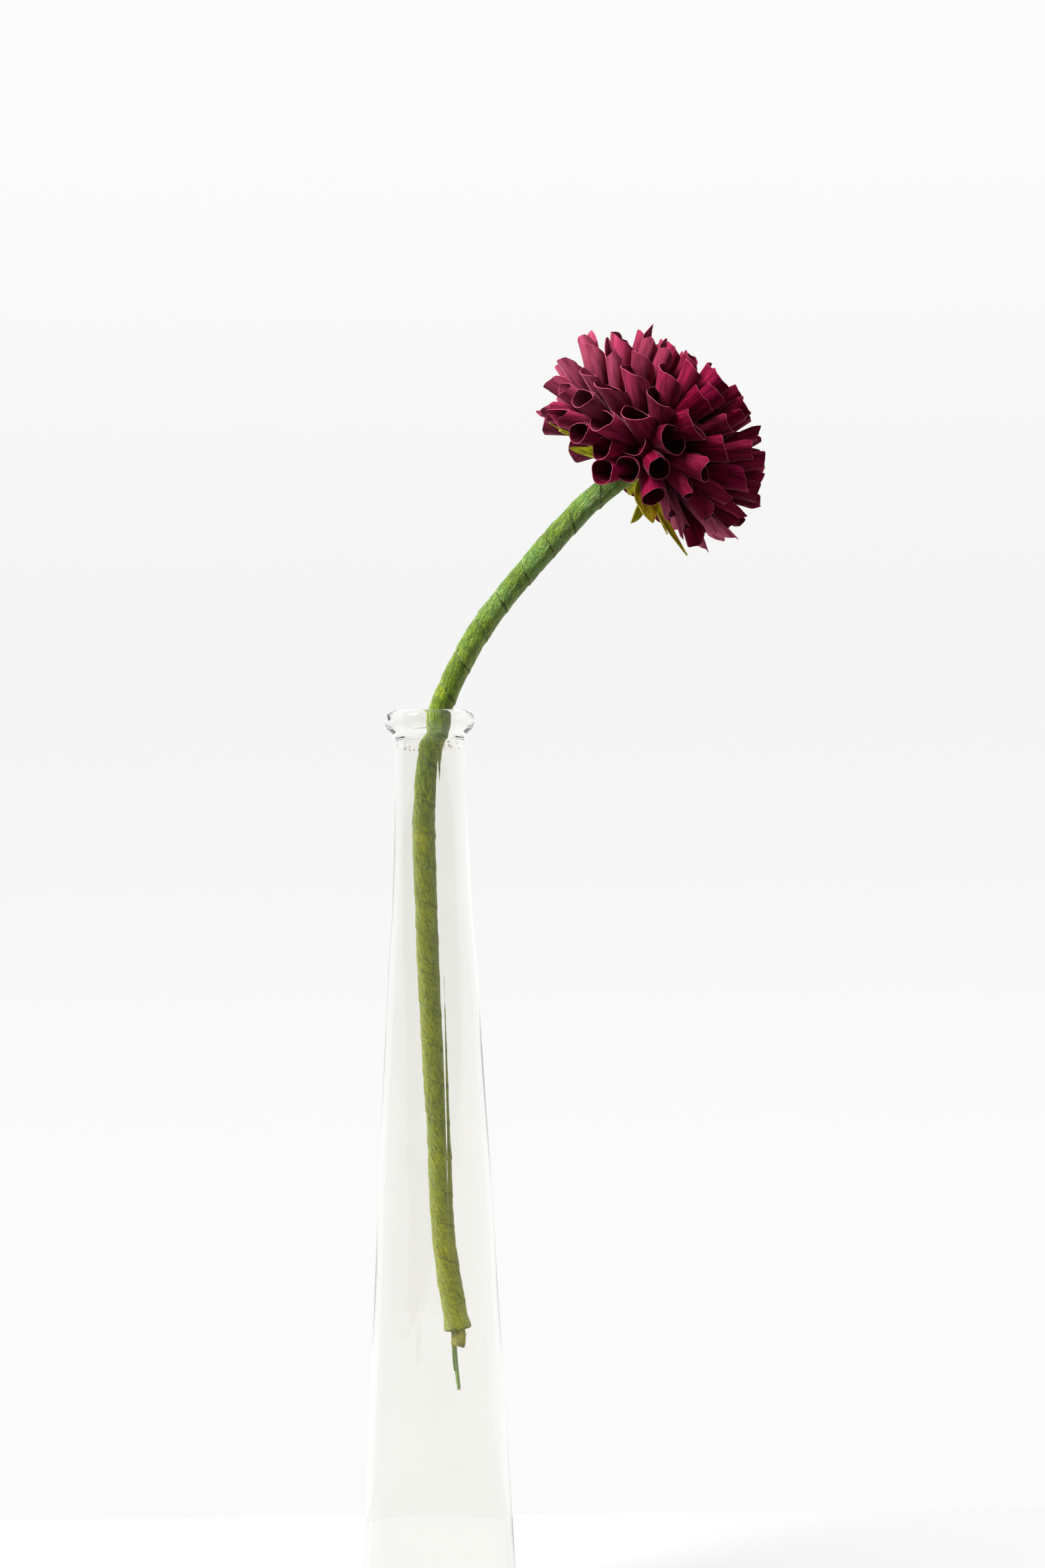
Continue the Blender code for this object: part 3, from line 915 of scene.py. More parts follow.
@dataclass(frozen=True)
class BlownGlass(Finish):
    """Clear bottle glass with a faint warm cast, ripples, bubbles and specks under the lip."""

    name: str
    tint: Colour
    speck: Colour
    speck_height: float = 0.341
    speck_band: float = 0.0025
    ripple_grain: Point = (38.0, 38.0, 11.0)
    cloud_scale: float = 30.0
    bubble_scale: float = 70.0
    grit_scale: float = 480.0
    gap_scale: float = 160.0
    relief: float = 0.1
    refraction: float = 1.42

    def paint(self, tree: Shader) -> None:
        """Wires the clear glass, its waves and bubbles, and the band of specks.

        Args:
            tree: The material's nodes.
        """
        ripples = tree.noise(tree.place(), self.ripple_grain, 2.0, 0.45, 0.5)
        clouds = tree.noise(tree.place(), self.cloud_scale, 2.0, 0.5)
        bubbles = tree.remap(tree.dots(self.bubble_scale), 0.03, 0.07, 1.0, 0.0)
        _, _, up = tree.separate(tree.place())
        off = tree.maths("ABSOLUTE", tree.maths("SUBTRACT", up, self.speck_height))
        band = tree.remap(off, self.speck_band * 0.6, self.speck_band, 1.0, 0.0)
        sparse = tree.remap(tree.noise(tree.place(), self.gap_scale, 2.0, 0.5), 0.46, 0.5)
        grit = tree.remap(tree.dots(self.grit_scale), 0.2, 0.34, 1.0, 0.0)
        specks = tree.times(tree.times(grit, band), sparse)
        clear = tree.dim(self.tint, tree.vary(clouds, 0.985, 1.0))
        raised = tree.weighted((ripples, 1.0), (bubbles, 0.12))
        tree.set(
            Base_Color=tree.mix(specks, clear, self.speck),
            Roughness=0.0,
            IOR=self.refraction,
            Transmission_Weight=1.0,
            Normal=tree.bump(raised, self.relief * MM),
        )


@dataclass(frozen=True)
class StudioSheet(Finish):
    """Matt pale studio paper, with a glow that is seen but lights nothing."""

    name: str
    colour: Colour
    glow: float
    cloud_scale: float = 4.0

    def paint(self, tree: Shader) -> None:
        """Wires the faint clouds and the glow.

        Args:
            tree: The material's nodes.
        """
        cloud = tree.noise(tree.place(), self.cloud_scale, 3.0, 0.5)
        ray = tree.add("ShaderNodeLightPath")
        seen = tree.maths("LESS_THAN", ray.outputs["Diffuse Depth"], 0.5)
        tree.set(
            Base_Color=tree.dim(self.colour, tree.vary(cloud, 0.992, 1.0)),
            Roughness=0.9,
            Specular_IOR_Level=0.1,
            Emission_Color=WHITE,
            Emission_Strength=tree.times(seen, self.glow),
        )


# Growing rules


@dataclass(frozen=True)
class Placed:
    """One form's place in metres, its turn, its size, its number and how pale its painted light makes it.
    """

    point: Point
    turn: Point
    size: Point
    form: int
    pale: float = 0.0


class PetalLayer(Grower):
    """Sets chosen forms on points, each turned and sized by its point."""

    def __init__(self) -> None:
        """Builds the tree."""
        super().__init__("set_forms_on_points")
        forms = self.ask("Forms", "Collection")
        finish = self.ask("Finish", "Material")
        seed = self.ask("Seed", "Int", 0)
        stock = self.add("GeometryNodeCollectionInfo")
        self.fill(stock, Collection=forms, Separate_Children=True, Reset_Children=True)
        place = self.add("GeometryNodeInstanceOnPoints")
        self.fill(
            place,
            Points=self.result("GeometryNodeMeshToPoints", self.entry.outputs["Geometry"]),
            Instance=stock.outputs[0],
            Pick_Instance=True,
            Instance_Index=self.named("form", "INT"),
            Rotation=self.result("FunctionNodeEulerToRotation", self.named("turn", "FLOAT_VECTOR")),
            Scale=self.named("size", "FLOAT_VECTOR"),
        )
        toned = self.store(place.outputs[0], "tone", self.chance(seed), "INSTANCE")
        self.close(toned, finish)

    def lay(
        self, name: str, placed: Sequence[Placed], forms: Sequence[Mesh], finish: Material, seed: int
    ) -> Piece:
        """Sets forms out and makes them one piece.

        Args:
            name: The piece's name.
            placed: Where the forms go.
            forms: The forms, by number.
            finish: Their material.
            seed: The seed of their tones.

        Returns:
            The piece.
        """
        spots = mesh_from(name + ".spots", np.array([spot.point for spot in placed]))
        # pale carries each petal's painted light to its material.
        for label in ("turn", "size", "form", "pale"):
            write_points(spots, label, np.array([getattr(spot, label) for spot in placed]))
        shelf = bpy.data.collections.new(name + ".forms")
        for k, form in enumerate(forms):
            smooth_shading(form, CRISP_PAPER)
            shelf.objects.link(bpy.data.objects.new(f"{name}_form_{k:02d}", form))
        piece = self.run(spots, name, Forms=shelf, Finish=finish, Seed=seed)
        for thing in list(shelf.objects):
            bpy.data.objects.remove(thing, do_unlink=True)
        bpy.data.collections.remove(shelf)
        return piece


@dataclass(frozen=True)
class Winding:
    """How a line is wound: the sides of its ring, and the rest in millimetres."""

    sides: int
    step: float
    lap_pitch: float = 14.0
    lap_height: float = 0.0
    crease_height: float = 0.0


class WoundPath(Grower):
    """Sweeps a round section along a line, with lap ridges and creases.

    The creases' slant is radians a metre, and the laps' wander is turns.
    """

    crease_slant: float = 45.0
    crease_grain: Point = (2.6, 2.6, 230.0)
    wander_scale: float = 40.0
    wander: float = 0.8
    unevenness: float = 0.12
    lap_power: float = 2.5

    def __init__(self) -> None:
        """Builds the tree."""
        super().__init__("wind_round_a_line")
        finish = self.ask("Finish", "Material")
        sides = self.ask("Sides", "Int", 24)
        step = self.ask("Step", "Float", 0.001)
        pitch = self.ask("Lap pitch", "Float", 0.014)
        ridge = self.ask("Lap height", "Float", 0.0)
        crease = self.ask("Crease height", "Float", 0.0)
        line = self.result("GeometryNodeMeshToCurve", self.entry.outputs["Geometry"])
        resample = self.add("GeometryNodeResampleCurve", mode="LENGTH")
        self.feed(self.shown(resample.inputs, "Length"), step)
        walked = self.add("GeometryNodeSplineParameter")
        here = self.add("GeometryNodeInputPosition").outputs[0]
        path = self.store(self.fill(resample, Curve=line), "along", walked.outputs["Length"])
        path = self.store(path, "spine", here, "POINT", "FLOAT_VECTOR")
        thick = self.add("GeometryNodeSetCurveRadius")
        self.fill(thick, Curve=path, Radius=self.named("girth"))
        ring = self.add("GeometryNodeCurveArc", mode="RADIUS")
        self.fill(ring, Resolution=sides, Radius=1.0, Start_Angle=0.0, Sweep_Angle=math.tau)
        section = self.store(ring.outputs[0], "around", walked.outputs["Factor"])
        sweep = self.add("GeometryNodeCurveToMesh")
        self.fill(sweep, Curve=thick.outputs[0], Profile_Curve=section)
        if "Scale" in sweep.inputs:
            self.feed(sweep.inputs["Scale"], self.named("girth"))
        around = self.named("around")
        along = self.named("along")
        spot = self.combine(around, self.maths("DIVIDE", along, SHEET_UNIT * MM))
        mapped = self.store(sweep.outputs[0], SHEET, spot, "CORNER", "FLOAT2")
        # The creases run slantwise, so their noise turns with the way along the line.
        turned = self.weighted((around, math.tau), (along, self.crease_slant))
        loop = self.combine(self.maths("COSINE", turned), self.maths("SINE", turned), along)
        ripple = self.noise(loop, self.crease_grain, 3.0, 0.55, 0.3)
        drift = self.noise(self.combine(0.0, 0.0, along), self.wander_scale)
        phase = self.maths("ADD", self.maths("DIVIDE", along, pitch), around)
        phase = self.weighted((phase, 1.0), (drift, self.wander), (ripple, self.unevenness))
        marked = self.store(mapped, "phase", phase, "CORNER")
        rest = self.maths("SUBTRACT", 1.0, self.maths("FRACT", phase))
        lap = self.maths("POWER", rest, self.lap_power)
        lift = self.weighted((lap, ridge), (self.maths("SUBTRACT", ripple, 0.5), crease))
        out = self.vector_maths("SUBTRACT", here, self.named("spine", "FLOAT_VECTOR"))
        out = self.vector_maths("NORMALIZE", out)
        offset = self.vector_maths("MULTIPLY", out, self.combine(lift, lift, lift))
        moved = self.fill(self.add("GeometryNodeSetPosition"), Geometry=marked, Offset=offset)
        welded = self.add("GeometryNodeMergeByDistance")
        self.close(self.fill(welded, Geometry=moved, Distance=2 * WELD), finish)

    def wind(
        self, name: str, line: np.ndarray, girths: np.ndarray, winding: Winding, finish: Material
    ) -> Piece:
        """Sweeps one line.

        Args:
            name: The new object's name.
            line: The line's points in millimetres.
            girths: The radius at each point in millimetres. The two ends close to a point.
            winding: How it is wound.
            finish: Its material.

        Returns:
            The new object, closed and facing outwards.
        """
        closed = np.concatenate([[0.0], girths[1:-1], [0.0]])
        edges = [(i, i + 1) for i in range(len(line) - 1)]
        mesh = mesh_from(name + ".line", line * MM, edges=edges)
        write_points(mesh, "girth", closed * MM)
        thing = self.run(
            mesh,
            name,
            Finish=finish,
            Sides=winding.sides + 1,
            Step=winding.step * MM,
            Lap_pitch=winding.lap_pitch * MM,
            Lap_height=winding.lap_height * MM,
            Crease_height=winding.crease_height * MM,
        )
        face_outwards(thing.data)
        smooth_shading(thing.data, CRISP_LAP)
        return thing


# Bloom


@dataclass(frozen=True)
class BloomPlace:
    """Where the bloom stands, how its mouths lie, and the size of the ball inside it."""

    middle: Point = (88.9, -16.5, 457.7)
    axis: Point = (0.6779, 0.0, 0.7353)
    side_reach: float = 46.8
    top_reach: float = 34.4
    back_reach: float = 46.8
    lowest_angle: float = 116.0
    upright_lean: float = 31.0
    ball_side: float = 26.0
    ball_top: float = 17.0
    ball_back: float = 15.0

    def matrix(self) -> Matrix:
        """The bloom's frame, with Z along its axis and X towards the camera.

        Returns:
            The frame in millimetres.
        """
        along = Vector(self.axis).normalized()
        towards = Vector((0.0, -1.0, 0.0))
        front = (towards - along * towards.dot(along)).normalized()
        frame = Matrix((front, along.cross(front), along)).transposed().to_4x4()
        frame.translation = Vector(self.middle)
        return frame

    def metric_matrix(self) -> Matrix:
        """The bloom's frame for meshes that are in metres.

        Returns:
            The frame, with its place in metres.
        """
        frame = self.matrix()
        frame.translation *= MM
        return frame

    def on_axis(self, distance: float) -> np.ndarray:
        """A point of the axis at a distance from the bloom's middle."""
        return np.array(Vector(self.middle) + Vector(self.axis).normalized() * distance)

    def reach(self, angle: float) -> float:
        """Distance of a mouth from the middle, by the angle from the axis in radians."""
        along = self.top_reach if angle < math.pi / 2 else self.back_reach
        return 1 / math.hypot(math.cos(angle) / along, math.sin(angle) / self.side_reach)

    def lean(self, angle: float) -> float:
        """How much more upright than straight out a petal stands, in radians."""
        share = min(1.0, angle / math.radians(self.lowest_angle))
        return math.radians(self.upright_lean) * math.sin(math.pi * share)


class PetalKind(Enum):
    """The ways in which a petal's paper is rolled."""

    ROLLED = "rolled"
    SCROLLED = "scrolled"
    OPEN = "open"
    CRUSHED = "crushed"


# How far round each half of a sheet goes, in degrees. Past 180 the sides lap.
WRAP = {PetalKind.ROLLED: 196.0, PetalKind.OPEN: 150.0, PetalKind.CRUSHED: 170.0}


class FormGroup(Enum):
    """The groups that forms are picked from: four by height, and four of their own cut."""

    TOP = 0
    UPPER = 1
    MIDDLE = 2
    LOWEST = 3
    CRUSHED = 4
    SLIM = 5
    SHORT = 6
    ROUND = 7


@dataclass(frozen=True)
class PetalForm:
    """One strip of paper rolled into a cornet, in its own frame.

    Z runs out through the mouth, X is the side of the bloom's top, where the seam is.
    The seam is cut lower than the outer side, and beside it stand a tall and a small
    horn. Wraps and scrolls are degrees, and waves are shares of the width.
    """

    kind: PetalKind
    seed: int
    seam_drop: float
    horn: float = 3.6
    fade: float = 0.0
    length: float = 29.0
    half_width: float = 5.5
    half_depth: float = 4.7
    root: float = 1.4
    thickness: float = 0.24
    edge: float = 0.28
    sunk: float = 0.6
    wrap_spread: float = 12.0
    root_wrap: float = 190.0
    lap_growth: float = 0.085
    lap_tuck: float = 0.05
    scroll_turn: float = 205.0
    scroll_more: float = 50.0
    mouth_flare: float = 0.06
    broad_wave: float = 0.05
    fine_wave: float = 0.03
    flattened: float = 0.62
    flattened_spread: float = 0.12
    widened: float = 0.22
    crumple: float = 1.3
    tall_width: float = 0.5
    small_width: float = 0.4
    columns: int = 27
    rows: int = 12

    def scroll(self, u: np.ndarray, opening: float, curl: float) -> np.ndarray:
        """The curve across a sheet whose two sides roll inwards.

        Args:
            u: Places across the sheet, from -1 to 1.
            opening: How far towards the mouth, from 0 to 1.
            curl: The form's random curl, from -1 to 1.

        Returns:
            Points by 2, X towards the top's side and Y sideways.
        """
        fine = np.linspace(0.0, 1.0, 80)
        more = self.scroll_more * opening * (0.6 + 0.4 * curl)
        end = math.radians(self.scroll_turn + more)
        heading = end * fine ** (1.0 + 0.55 * opening)
        half = np.column_stack([np.cumsum(np.sin(heading)), np.cumsum(np.cos(heading))]) / len(fine)
        half -= half[0]
        width = half[:, 1].max()
        x = np.interp(np.abs(u), fine, half[:, 0]) - half[:, 0].max() / 2
        y = np.interp(np.abs(u), fine, half[:, 1]) * np.sign(u)
        return np.column_stack([x / width, y / width])

    def section(self, u: np.ndarray, opening: float, draw: dict[str, float]) -> np.ndarray:
        """The curve that the sheet follows across, about 1 in half width.

        Args:
            u: Places across the sheet, from -1 to 1.
            opening: How far towards the mouth, from 0 to 1.
            draw: The form's random values.

        Returns:
            Points by 2, X towards the top's side and Y sideways.
        """
        if self.kind is PetalKind.SCROLLED:
            return self.scroll(u, opening, draw["curl"])
        wrap = WRAP[self.kind] + self.wrap_spread * draw["curl"]
        if self.kind is PetalKind.OPEN:
            wrap = self.root_wrap + (wrap - self.root_wrap) * opening**2
        angle = math.pi + np.radians(wrap) * u
        growth = 1 + self.lap_growth * u * (1 if draw["hand"] > 0 else -1)
        growth = growth - self.lap_tuck * np.abs(u) ** 6 * (1 + draw["tuck"])
        return np.column_stack([np.cos(angle) * growth, -np.sin(angle) * growth])

    def mesh(self, name: str) -> Mesh:
        """Builds the form.

        Args:
            name: The mesh's name.

        Returns:
            A closed thin mesh.
        """
        random = np.random.default_rng(self.seed)
        keys = ("curl", "hand", "tuck", "tall", "small", "flare", "skew", "bend", "pinch", "open")
        # Every key is drawn, an unused one too, so that the draws keep their order.
        draw = {key: float(random.uniform(-1, 1)) for key in keys}
        phases = random.uniform(0, math.tau, 6)
        margin = self.edge / (math.pi * self.half_width)
        u = np.concatenate([[-1], np.linspace(-1 + margin, 1 - margin, self.columns - 2), [1]])
        shares = np.linspace(0, 1 - self.edge / self.length, self.rows - 1)
        middle = np.zeros((self.rows, self.columns, 3))
        places = np.zeros((self.rows, self.columns, 2))
        top = self.cut_edge(u, draw, phases)
        for i, v in enumerate([*shares, 1.0]):
            curve = self.section(u, v, draw)
            # The cornet opens fast above its root and once more at its mouth.
            spread = (1 - self.mouth_flare) * (1 - (1 - v) ** 1.5) + self.mouth_flare * v**5
            width = self.root + (self.half_width - self.root) * spread
            depth = self.root + (self.half_depth - self.root) * spread
            sway = 0.8 * v * (1 - v) * 4 * draw["bend"] - 0.9 * v**4
            if self.kind is PetalKind.CRUSHED:
                depth *= 1 - (self.flattened + self.flattened_spread * draw["pinch"]) * v
                width *= 1 + self.widened * v
                sway = sway + self.crumple * v * np.sin(2.3 * u + phases[5] + 2 * v)
            wobble = 1 + self.broad_wave * v * np.sin(2 * math.pi * u + phases[0] + 1.5 * v)
            wobble += self.fine_wave * v * np.sin(5 * math.pi * u + phases[1] - 2 * v)
            middle[i, :, 0] = curve[:, 0] * depth * wobble + sway
            middle[i, :, 1] = curve[:, 1] * width * wobble
            middle[i, :, 2] = self.length * (v - 1) + top * v**2
            places[i, :, 0] = u * width * math.pi
            places[i, :, 1] = self.length * v + top * v**2
        mesh = paper_shell(name, middle, places, self.thickness)
        write_points(mesh, "fade", np.full(len(mesh.vertices), self.fade))
        return mesh

    def cut_edge(self, u: np.ndarray, draw: dict[str, float], phases: np.ndarray) -> np.ndarray:
        """Height of the paper's cut edge: a tall horn, a dip on the outer side, a small horn.

        Args:
            u: Places across the sheet, from -1 to 1.
            draw: The form's random values.
            phases: The form's random angles.

        Returns:
            The heights in millimetres.
        """
        tall_place = 0.52 + 0.08 * draw["skew"]
        small_place = -0.5 + 0.1 * draw["pinch"]
        tall = self.horn + 1.5 * draw["tall"]
        tall = tall * np.maximum(0, 1 - np.abs(u - tall_place) / self.tall_width) ** 1.6
        small = 0.35 * self.horn + 0.8 * draw["small"]
        small = small * np.maximum(0, 1 - np.abs(u - small_place) / self.small_width) ** 1.3
        seam = self.seam_drop * np.cos(math.pi + math.pi * u)
        ragged = 0.22 * np.sin(7 * u + phases[2]) + 0.12 * np.sin(19 * u + phases[3])
        if self.kind is PetalKind.CRUSHED:
            ragged = ragged + 1.4 * np.sin(3.1 * u + phases[4])
        return tall + small - seam + ragged - 1.0 - self.sunk * self.seam_drop


@dataclass(frozen=True)
class PetalRow:
    """One row of petals, from the bloom's axis outwards.

    Holds the angle of its mouths from the axis, how many petals it has, the azimuth of
    the first one, and the mouths' depth, width and how far they are sunk.
    """

    angle: float
    count: int
    first: float
    depth: float
    width: float
    sunk: float


@dataclass(frozen=True)
class SetPetal:
    """A petal of a row that is set one by one.

    Holds its row and number, the group and number of its form, how much further it is
    sunk, its size, and how far it swings round in degrees.
    """

    row: int
    number: int
    group: FormGroup
    pick: int
    sunk: float = 0.0
    size: float = 1.0
    swing: float = 0.0


@dataclass(frozen=True)
class AddedPetal:
    """A petal outside the rows.

    Holds its angle from the axis and its azimuth in degrees, the group and number of
    its form, how far it is sunk, its turn about itself in degrees, its depth and width.
    """

    angle: float
    degrees: float
    group: FormGroup
    pick: int
    sunk: float
    roll: float = 0.0
    depth: float = 1.0
    width: float = 1.0


@dataclass
class Bloom:
    """The rolled petals and the ball that they stand on.

    A pointed range holds two azimuths, the share of the petals between them that are
    slim or short, and their group of forms.
    """

    place: BloomPlace = field(default_factory=BloomPlace)
    rows: tuple[PetalRow, ...] = (
        PetalRow(20.0, 6, 0.0, 0.85, 0.8, 0.0),
        PetalRow(33.0, 10, 10.5, 0.95, 0.92, 0.0),
        PetalRow(46.0, 13, -14.6, 1.0, 1.02, 0.3),
        PetalRow(60.5, 16, 7.0, 1.05, 1.12, 0.8),
        PetalRow(74.5, 17, -8.7, 1.08, 1.18, 1.5),
        PetalRow(88.5, 17, 7.0, 1.08, 1.2, 2.0),
        PetalRow(102.0, 19, -6.5, 1.02, 1.1, 1.6),
        PetalRow(116.0, 19, 3.0, 0.98, 1.0, 1.6),
    )
    left_out: tuple[tuple[int, int], ...] = ((7, 1),)
    by_eye: tuple[SetPetal, ...] = (
        SetPetal(2, 3, FormGroup.SHORT, 1, 2.0),
        SetPetal(3, 1, FormGroup.SHORT, 4),
        SetPetal(3, 4, FormGroup.UPPER, 5, 2.0),
        SetPetal(4, 4, FormGroup.SHORT, 3, 1.6),
        SetPetal(4, 13, FormGroup.SLIM, 3, -1.8),
        SetPetal(5, 0, FormGroup.ROUND, 0),
        SetPetal(5, 3, FormGroup.SHORT, 1, 1.0),
        SetPetal(5, 13, FormGroup.MIDDLE, 5, -1.8),
        SetPetal(5, 16, FormGroup.MIDDLE, 0),
        SetPetal(6, 0, FormGroup.LOWEST, 0, 5.0),
        SetPetal(6, 1, FormGroup.ROUND, 1, 0.5, 0.82, -2.5),
        SetPetal(6, 15, FormGroup.MIDDLE, 2, -2.2),
        SetPetal(7, 0, FormGroup.ROUND, 1, 0.0, 0.92),
        SetPetal(7, 2, FormGroup.CRUSHED, 1, 3.0),
        SetPetal(7, 3, FormGroup.CRUSHED, 1, 3.0),
        SetPetal(7, 4, FormGroup.LOWEST, 2, 2.5),
        SetPetal(7, 5, FormGroup.CRUSHED, 1, 3.0),
        SetPetal(7, 18, FormGroup.ROUND, 0),
    )
    added: tuple[AddedPetal, ...] = (
        AddedPetal(123.5, 350.5, FormGroup.ROUND, 0, 0.5),
        AddedPetal(115.0, 23.0, FormGroup.ROUND, 0, 1.0, 0.0, 0.94, 0.9),
        AddedPetal(53.0, 85.0, FormGroup.SHORT, 4, 2.6, 8.0, 0.9, 0.92),
        AddedPetal(67.5, 87.0, FormGroup.SHORT, 0, 2.6, -9.0, 0.9, 0.92),
        AddedPetal(81.0, 88.0, FormGroup.SHORT, 1, 2.6, 5.0, 0.9, 0.92),
        AddedPetal(94.5, 79.0, FormGroup.SHORT, 3, 3.0, 0.0, 0.9, 0.92),
        AddedPetal(60.0, 107.0, FormGroup.SHORT, 1, 2.6, 4.0, 0.9, 0.92),
    )
    seed: int = 11
    angle_spread: float = 2.2
    azimuth_spread: float = 2.6
    reach_spread: float = 1.3
    width_spread: float = 0.07
    roll_spread: float = 18.0
    parting: float = 3.0
    parting_sweep: float = 46.0
    parting_width: float = 10.0
    parting_reach: float = 115.0
    # The lit side, and how much paler the petals that face it are painted, as painted light.
    lit_side: Point = (-0.38, 0.4, 0.82)
    palest_painted_light: float = 0.8
    tucked_from: float = 108.0
    tucked_to: float = 200.0
    tucked_by: float = 8.0
    crushed_from: float = 58.0
    crushed_more: float = 22.0
    crushed_to: float = 122.0
    crushed_share: float = 0.85
    pointed: tuple[tuple[float, float, float, FormGroup], ...] = (
        (222.0, 322.0, 0.4, FormGroup.SLIM),
        (15.0, 130.0, 0.75, FormGroup.SHORT),
    )
    ball_turns: int = 48
    ball_rings: int = 25
    ball_tone: float = 0.2
    ball_rough: float = 0.012

    @property
    def last_row(self) -> int:
        """The number of the lowest row."""
        return len(self.rows) - 1

    def forms(self) -> list[tuple[FormGroup, PetalForm]]:
        """The forms that petals are picked from, each with its group.

        Returns:
            The groups and forms, in the order of their numbers.
        """
        rolled, scrolled, spread = PetalKind.ROLLED, PetalKind.SCROLLED, PetalKind.OPEN
        kinds = (rolled, scrolled, rolled, spread, rolled, scrolled, rolled)
        cuts = ((3.2, 4.2), (4.2, 4.6), (3.2, 3.8), (1.0, 2.2))
        made = [
            (FormGroup(level), PetalForm(kind, 100 * level + 7 * k + 3, drop, horn))
            for level, (drop, horn) in enumerate(cuts)
            for k, kind in enumerate(kinds)
        ]
        for k in range(4):
            made.append((FormGroup.CRUSHED, PetalForm(PetalKind.CRUSHED, 900 + k, 0.3, fade=1.0)))
        for k, kind in enumerate((rolled, scrolled, spread) * 2):
            slim = PetalForm(kind, 700 + k, 0.6, 7.2, 0.08, half_width=4.7, half_depth=3.4)
            short = PetalForm(kind, 760 + k, 1.6, 4.6, 0.05, half_width=4.5, half_depth=3.5)
            made += [(FormGroup.SLIM, slim), (FormGroup.SHORT, short)]
        for k in range(2):
            round_one = PetalForm(rolled, 820 + k, 0.9, 2.6, half_width=5.4, half_depth=5.0)
            made.append((FormGroup.ROUND, round_one))
        return made

    def layout(self, forms: Sequence[tuple[FormGroup, PetalForm]]) -> list[Placed]:
        """Gives every petal its form, turn and size.

        Args:
            forms: The forms that there are, each with its group.

        Returns:
            The petals' places.
        """
        draw = np.random.default_rng(self.seed)
        pick = np.random.default_rng(self.seed + 1)
        numbers = {g: [i for i, (own, _) in enumerate(forms) if own is g] for g in FormGroup}
        by_eye = {(petal.row, petal.number): petal for petal in self.by_eye}
        placed = []
        for i, row in enumerate(self.rows):
            for k in range(row.count):
                lean, swing, longer, wider, roll, _, _ = draw.uniform(-1, 1, 7)
                tilt = row.angle + lean * self.angle_spread
                degrees = row.first + 360 / row.count * k + swing * self.azimuth_spread
                sunk = row.sunk
                if i == self.last_row and self.tucked_from <= degrees % 360 <= self.tucked_to:
                    sunk += self.tucked_by
                group = self.group(i, degrees % 360, float(pick.random()))
                drawn = SetPetal(i, k, group, int(pick.integers(len(numbers[group]))))
                petal = by_eye.get((i, k), drawn)
                scale = petal.size * (1 + wider * self.width_spread)
                stood = self.stand(
                    tilt,
                    degrees + petal.swing,
                    sunk + petal.sunk - longer * self.reach_spread,
                    roll * self.roll_spread,
                    numbers[petal.group][petal.pick],
                    (scale * row.depth, scale * row.width, 1.0),
                )
                if (i, k) not in self.left_out:
                    placed.append(stood)
        for petal in self.added:
            form = numbers[petal.group][petal.pick]
            size = (petal.depth, petal.width, 1.0)
            placed.append(
                self.stand(petal.angle, petal.degrees, petal.sunk, petal.roll, form, size)
            )
        return placed

    def stand(
        self, tilt: float, degrees: float, sunk: float, roll: float, form: int, size: Point
    ) -> Placed:
        """Stands one petal on the ball.

        Args:
            tilt: Its mouth's angle from the bloom's axis, in degrees.
            degrees: Its mouth's azimuth.
            sunk: How far its mouth is sunk, in millimetres.
            roll: Its turn about itself, in degrees.
            form: Its form's number.
            size: Its depth, width and length, as shares of its form's.

        Returns:
            Its place, turn and paleness, which is painted light that grows towards the lit side.
        """
        frame = self.place.matrix()
        turned = frame.to_3x3()
        angle = math.radians(tilt)
        reach = self.place.reach(angle) - sunk
        swept = math.radians(degrees) + self.sweep(degrees)
        outwards = self.way(angle - self.place.lean(angle), swept)
        sideways = Vector((-math.sin(swept), math.cos(swept), 0.0))
        upwards = -sideways.cross(outwards)
        upwards = upwards if upwards.z > 0 else -upwards
        local = Matrix((upwards, outwards.cross(upwards), outwards)).transposed()
        spin = Matrix.Rotation(math.radians(roll), 3, "Z")
        # Painted light: the more a petal faces the lit side, the paler it is painted.
        facing = (turned @ outwards).dot(Vector(self.lit_side).normalized())
        return Placed(
            tuple(frame @ (self.way(angle, math.radians(degrees)) * reach) * MM),
            tuple((turned @ local @ spin).to_euler()),
            size,
            form,
            self.palest_painted_light * max(0.0, facing) ** 3,
        )

    def sweep(self, degrees: float) -> float:
        """How far a petal leans away from the parting at the front, in radians.

        Args:
            degrees: The azimuth of the petal's mouth.

        Returns:
            The turn that is added to the azimuth of its direction.
        """
        away = (degrees - self.parting + 180) % 360 - 180
        rise = 1 - math.exp(-abs(away) / self.parting_width)
        fall = max(0.0, 1 - abs(away) / self.parting_reach)
        return math.radians(math.copysign(self.parting_sweep * rise * fall, away))

    def group(self, row: int, degrees: float, chance: float) -> FormGroup:
        """The group of forms that a petal takes.

        Args:
            row: The petal's row.
            degrees: Its azimuth, from 0 to 360.
            chance: A random number from 0 to 1.

        Returns:
            The group.
        """
        low = row >= self.last_row - 1
        crushed = self.crushed_from - (self.crushed_more if row == self.last_row else 0.0)
        if low and crushed <= degrees <= self.crushed_to and chance < self.crushed_share:
            return FormGroup.CRUSHED
        if row < 2:
            return FormGroup.TOP
        for start, end, share, pointed in self.pointed:
            if start <= degrees <= end and chance < share:
                return pointed
        if row < 5:
            return FormGroup.UPPER
        return FormGroup.LOWEST if low else FormGroup.MIDDLE

    @staticmethod
    def way(angle: float, azimuth: float) -> Vector:
        """A unit way out from the middle, by angle from the axis and azimuth."""
        flat = math.sin(angle)
        return Vector((flat * math.cos(azimuth), flat * math.sin(azimuth), math.cos(angle)))

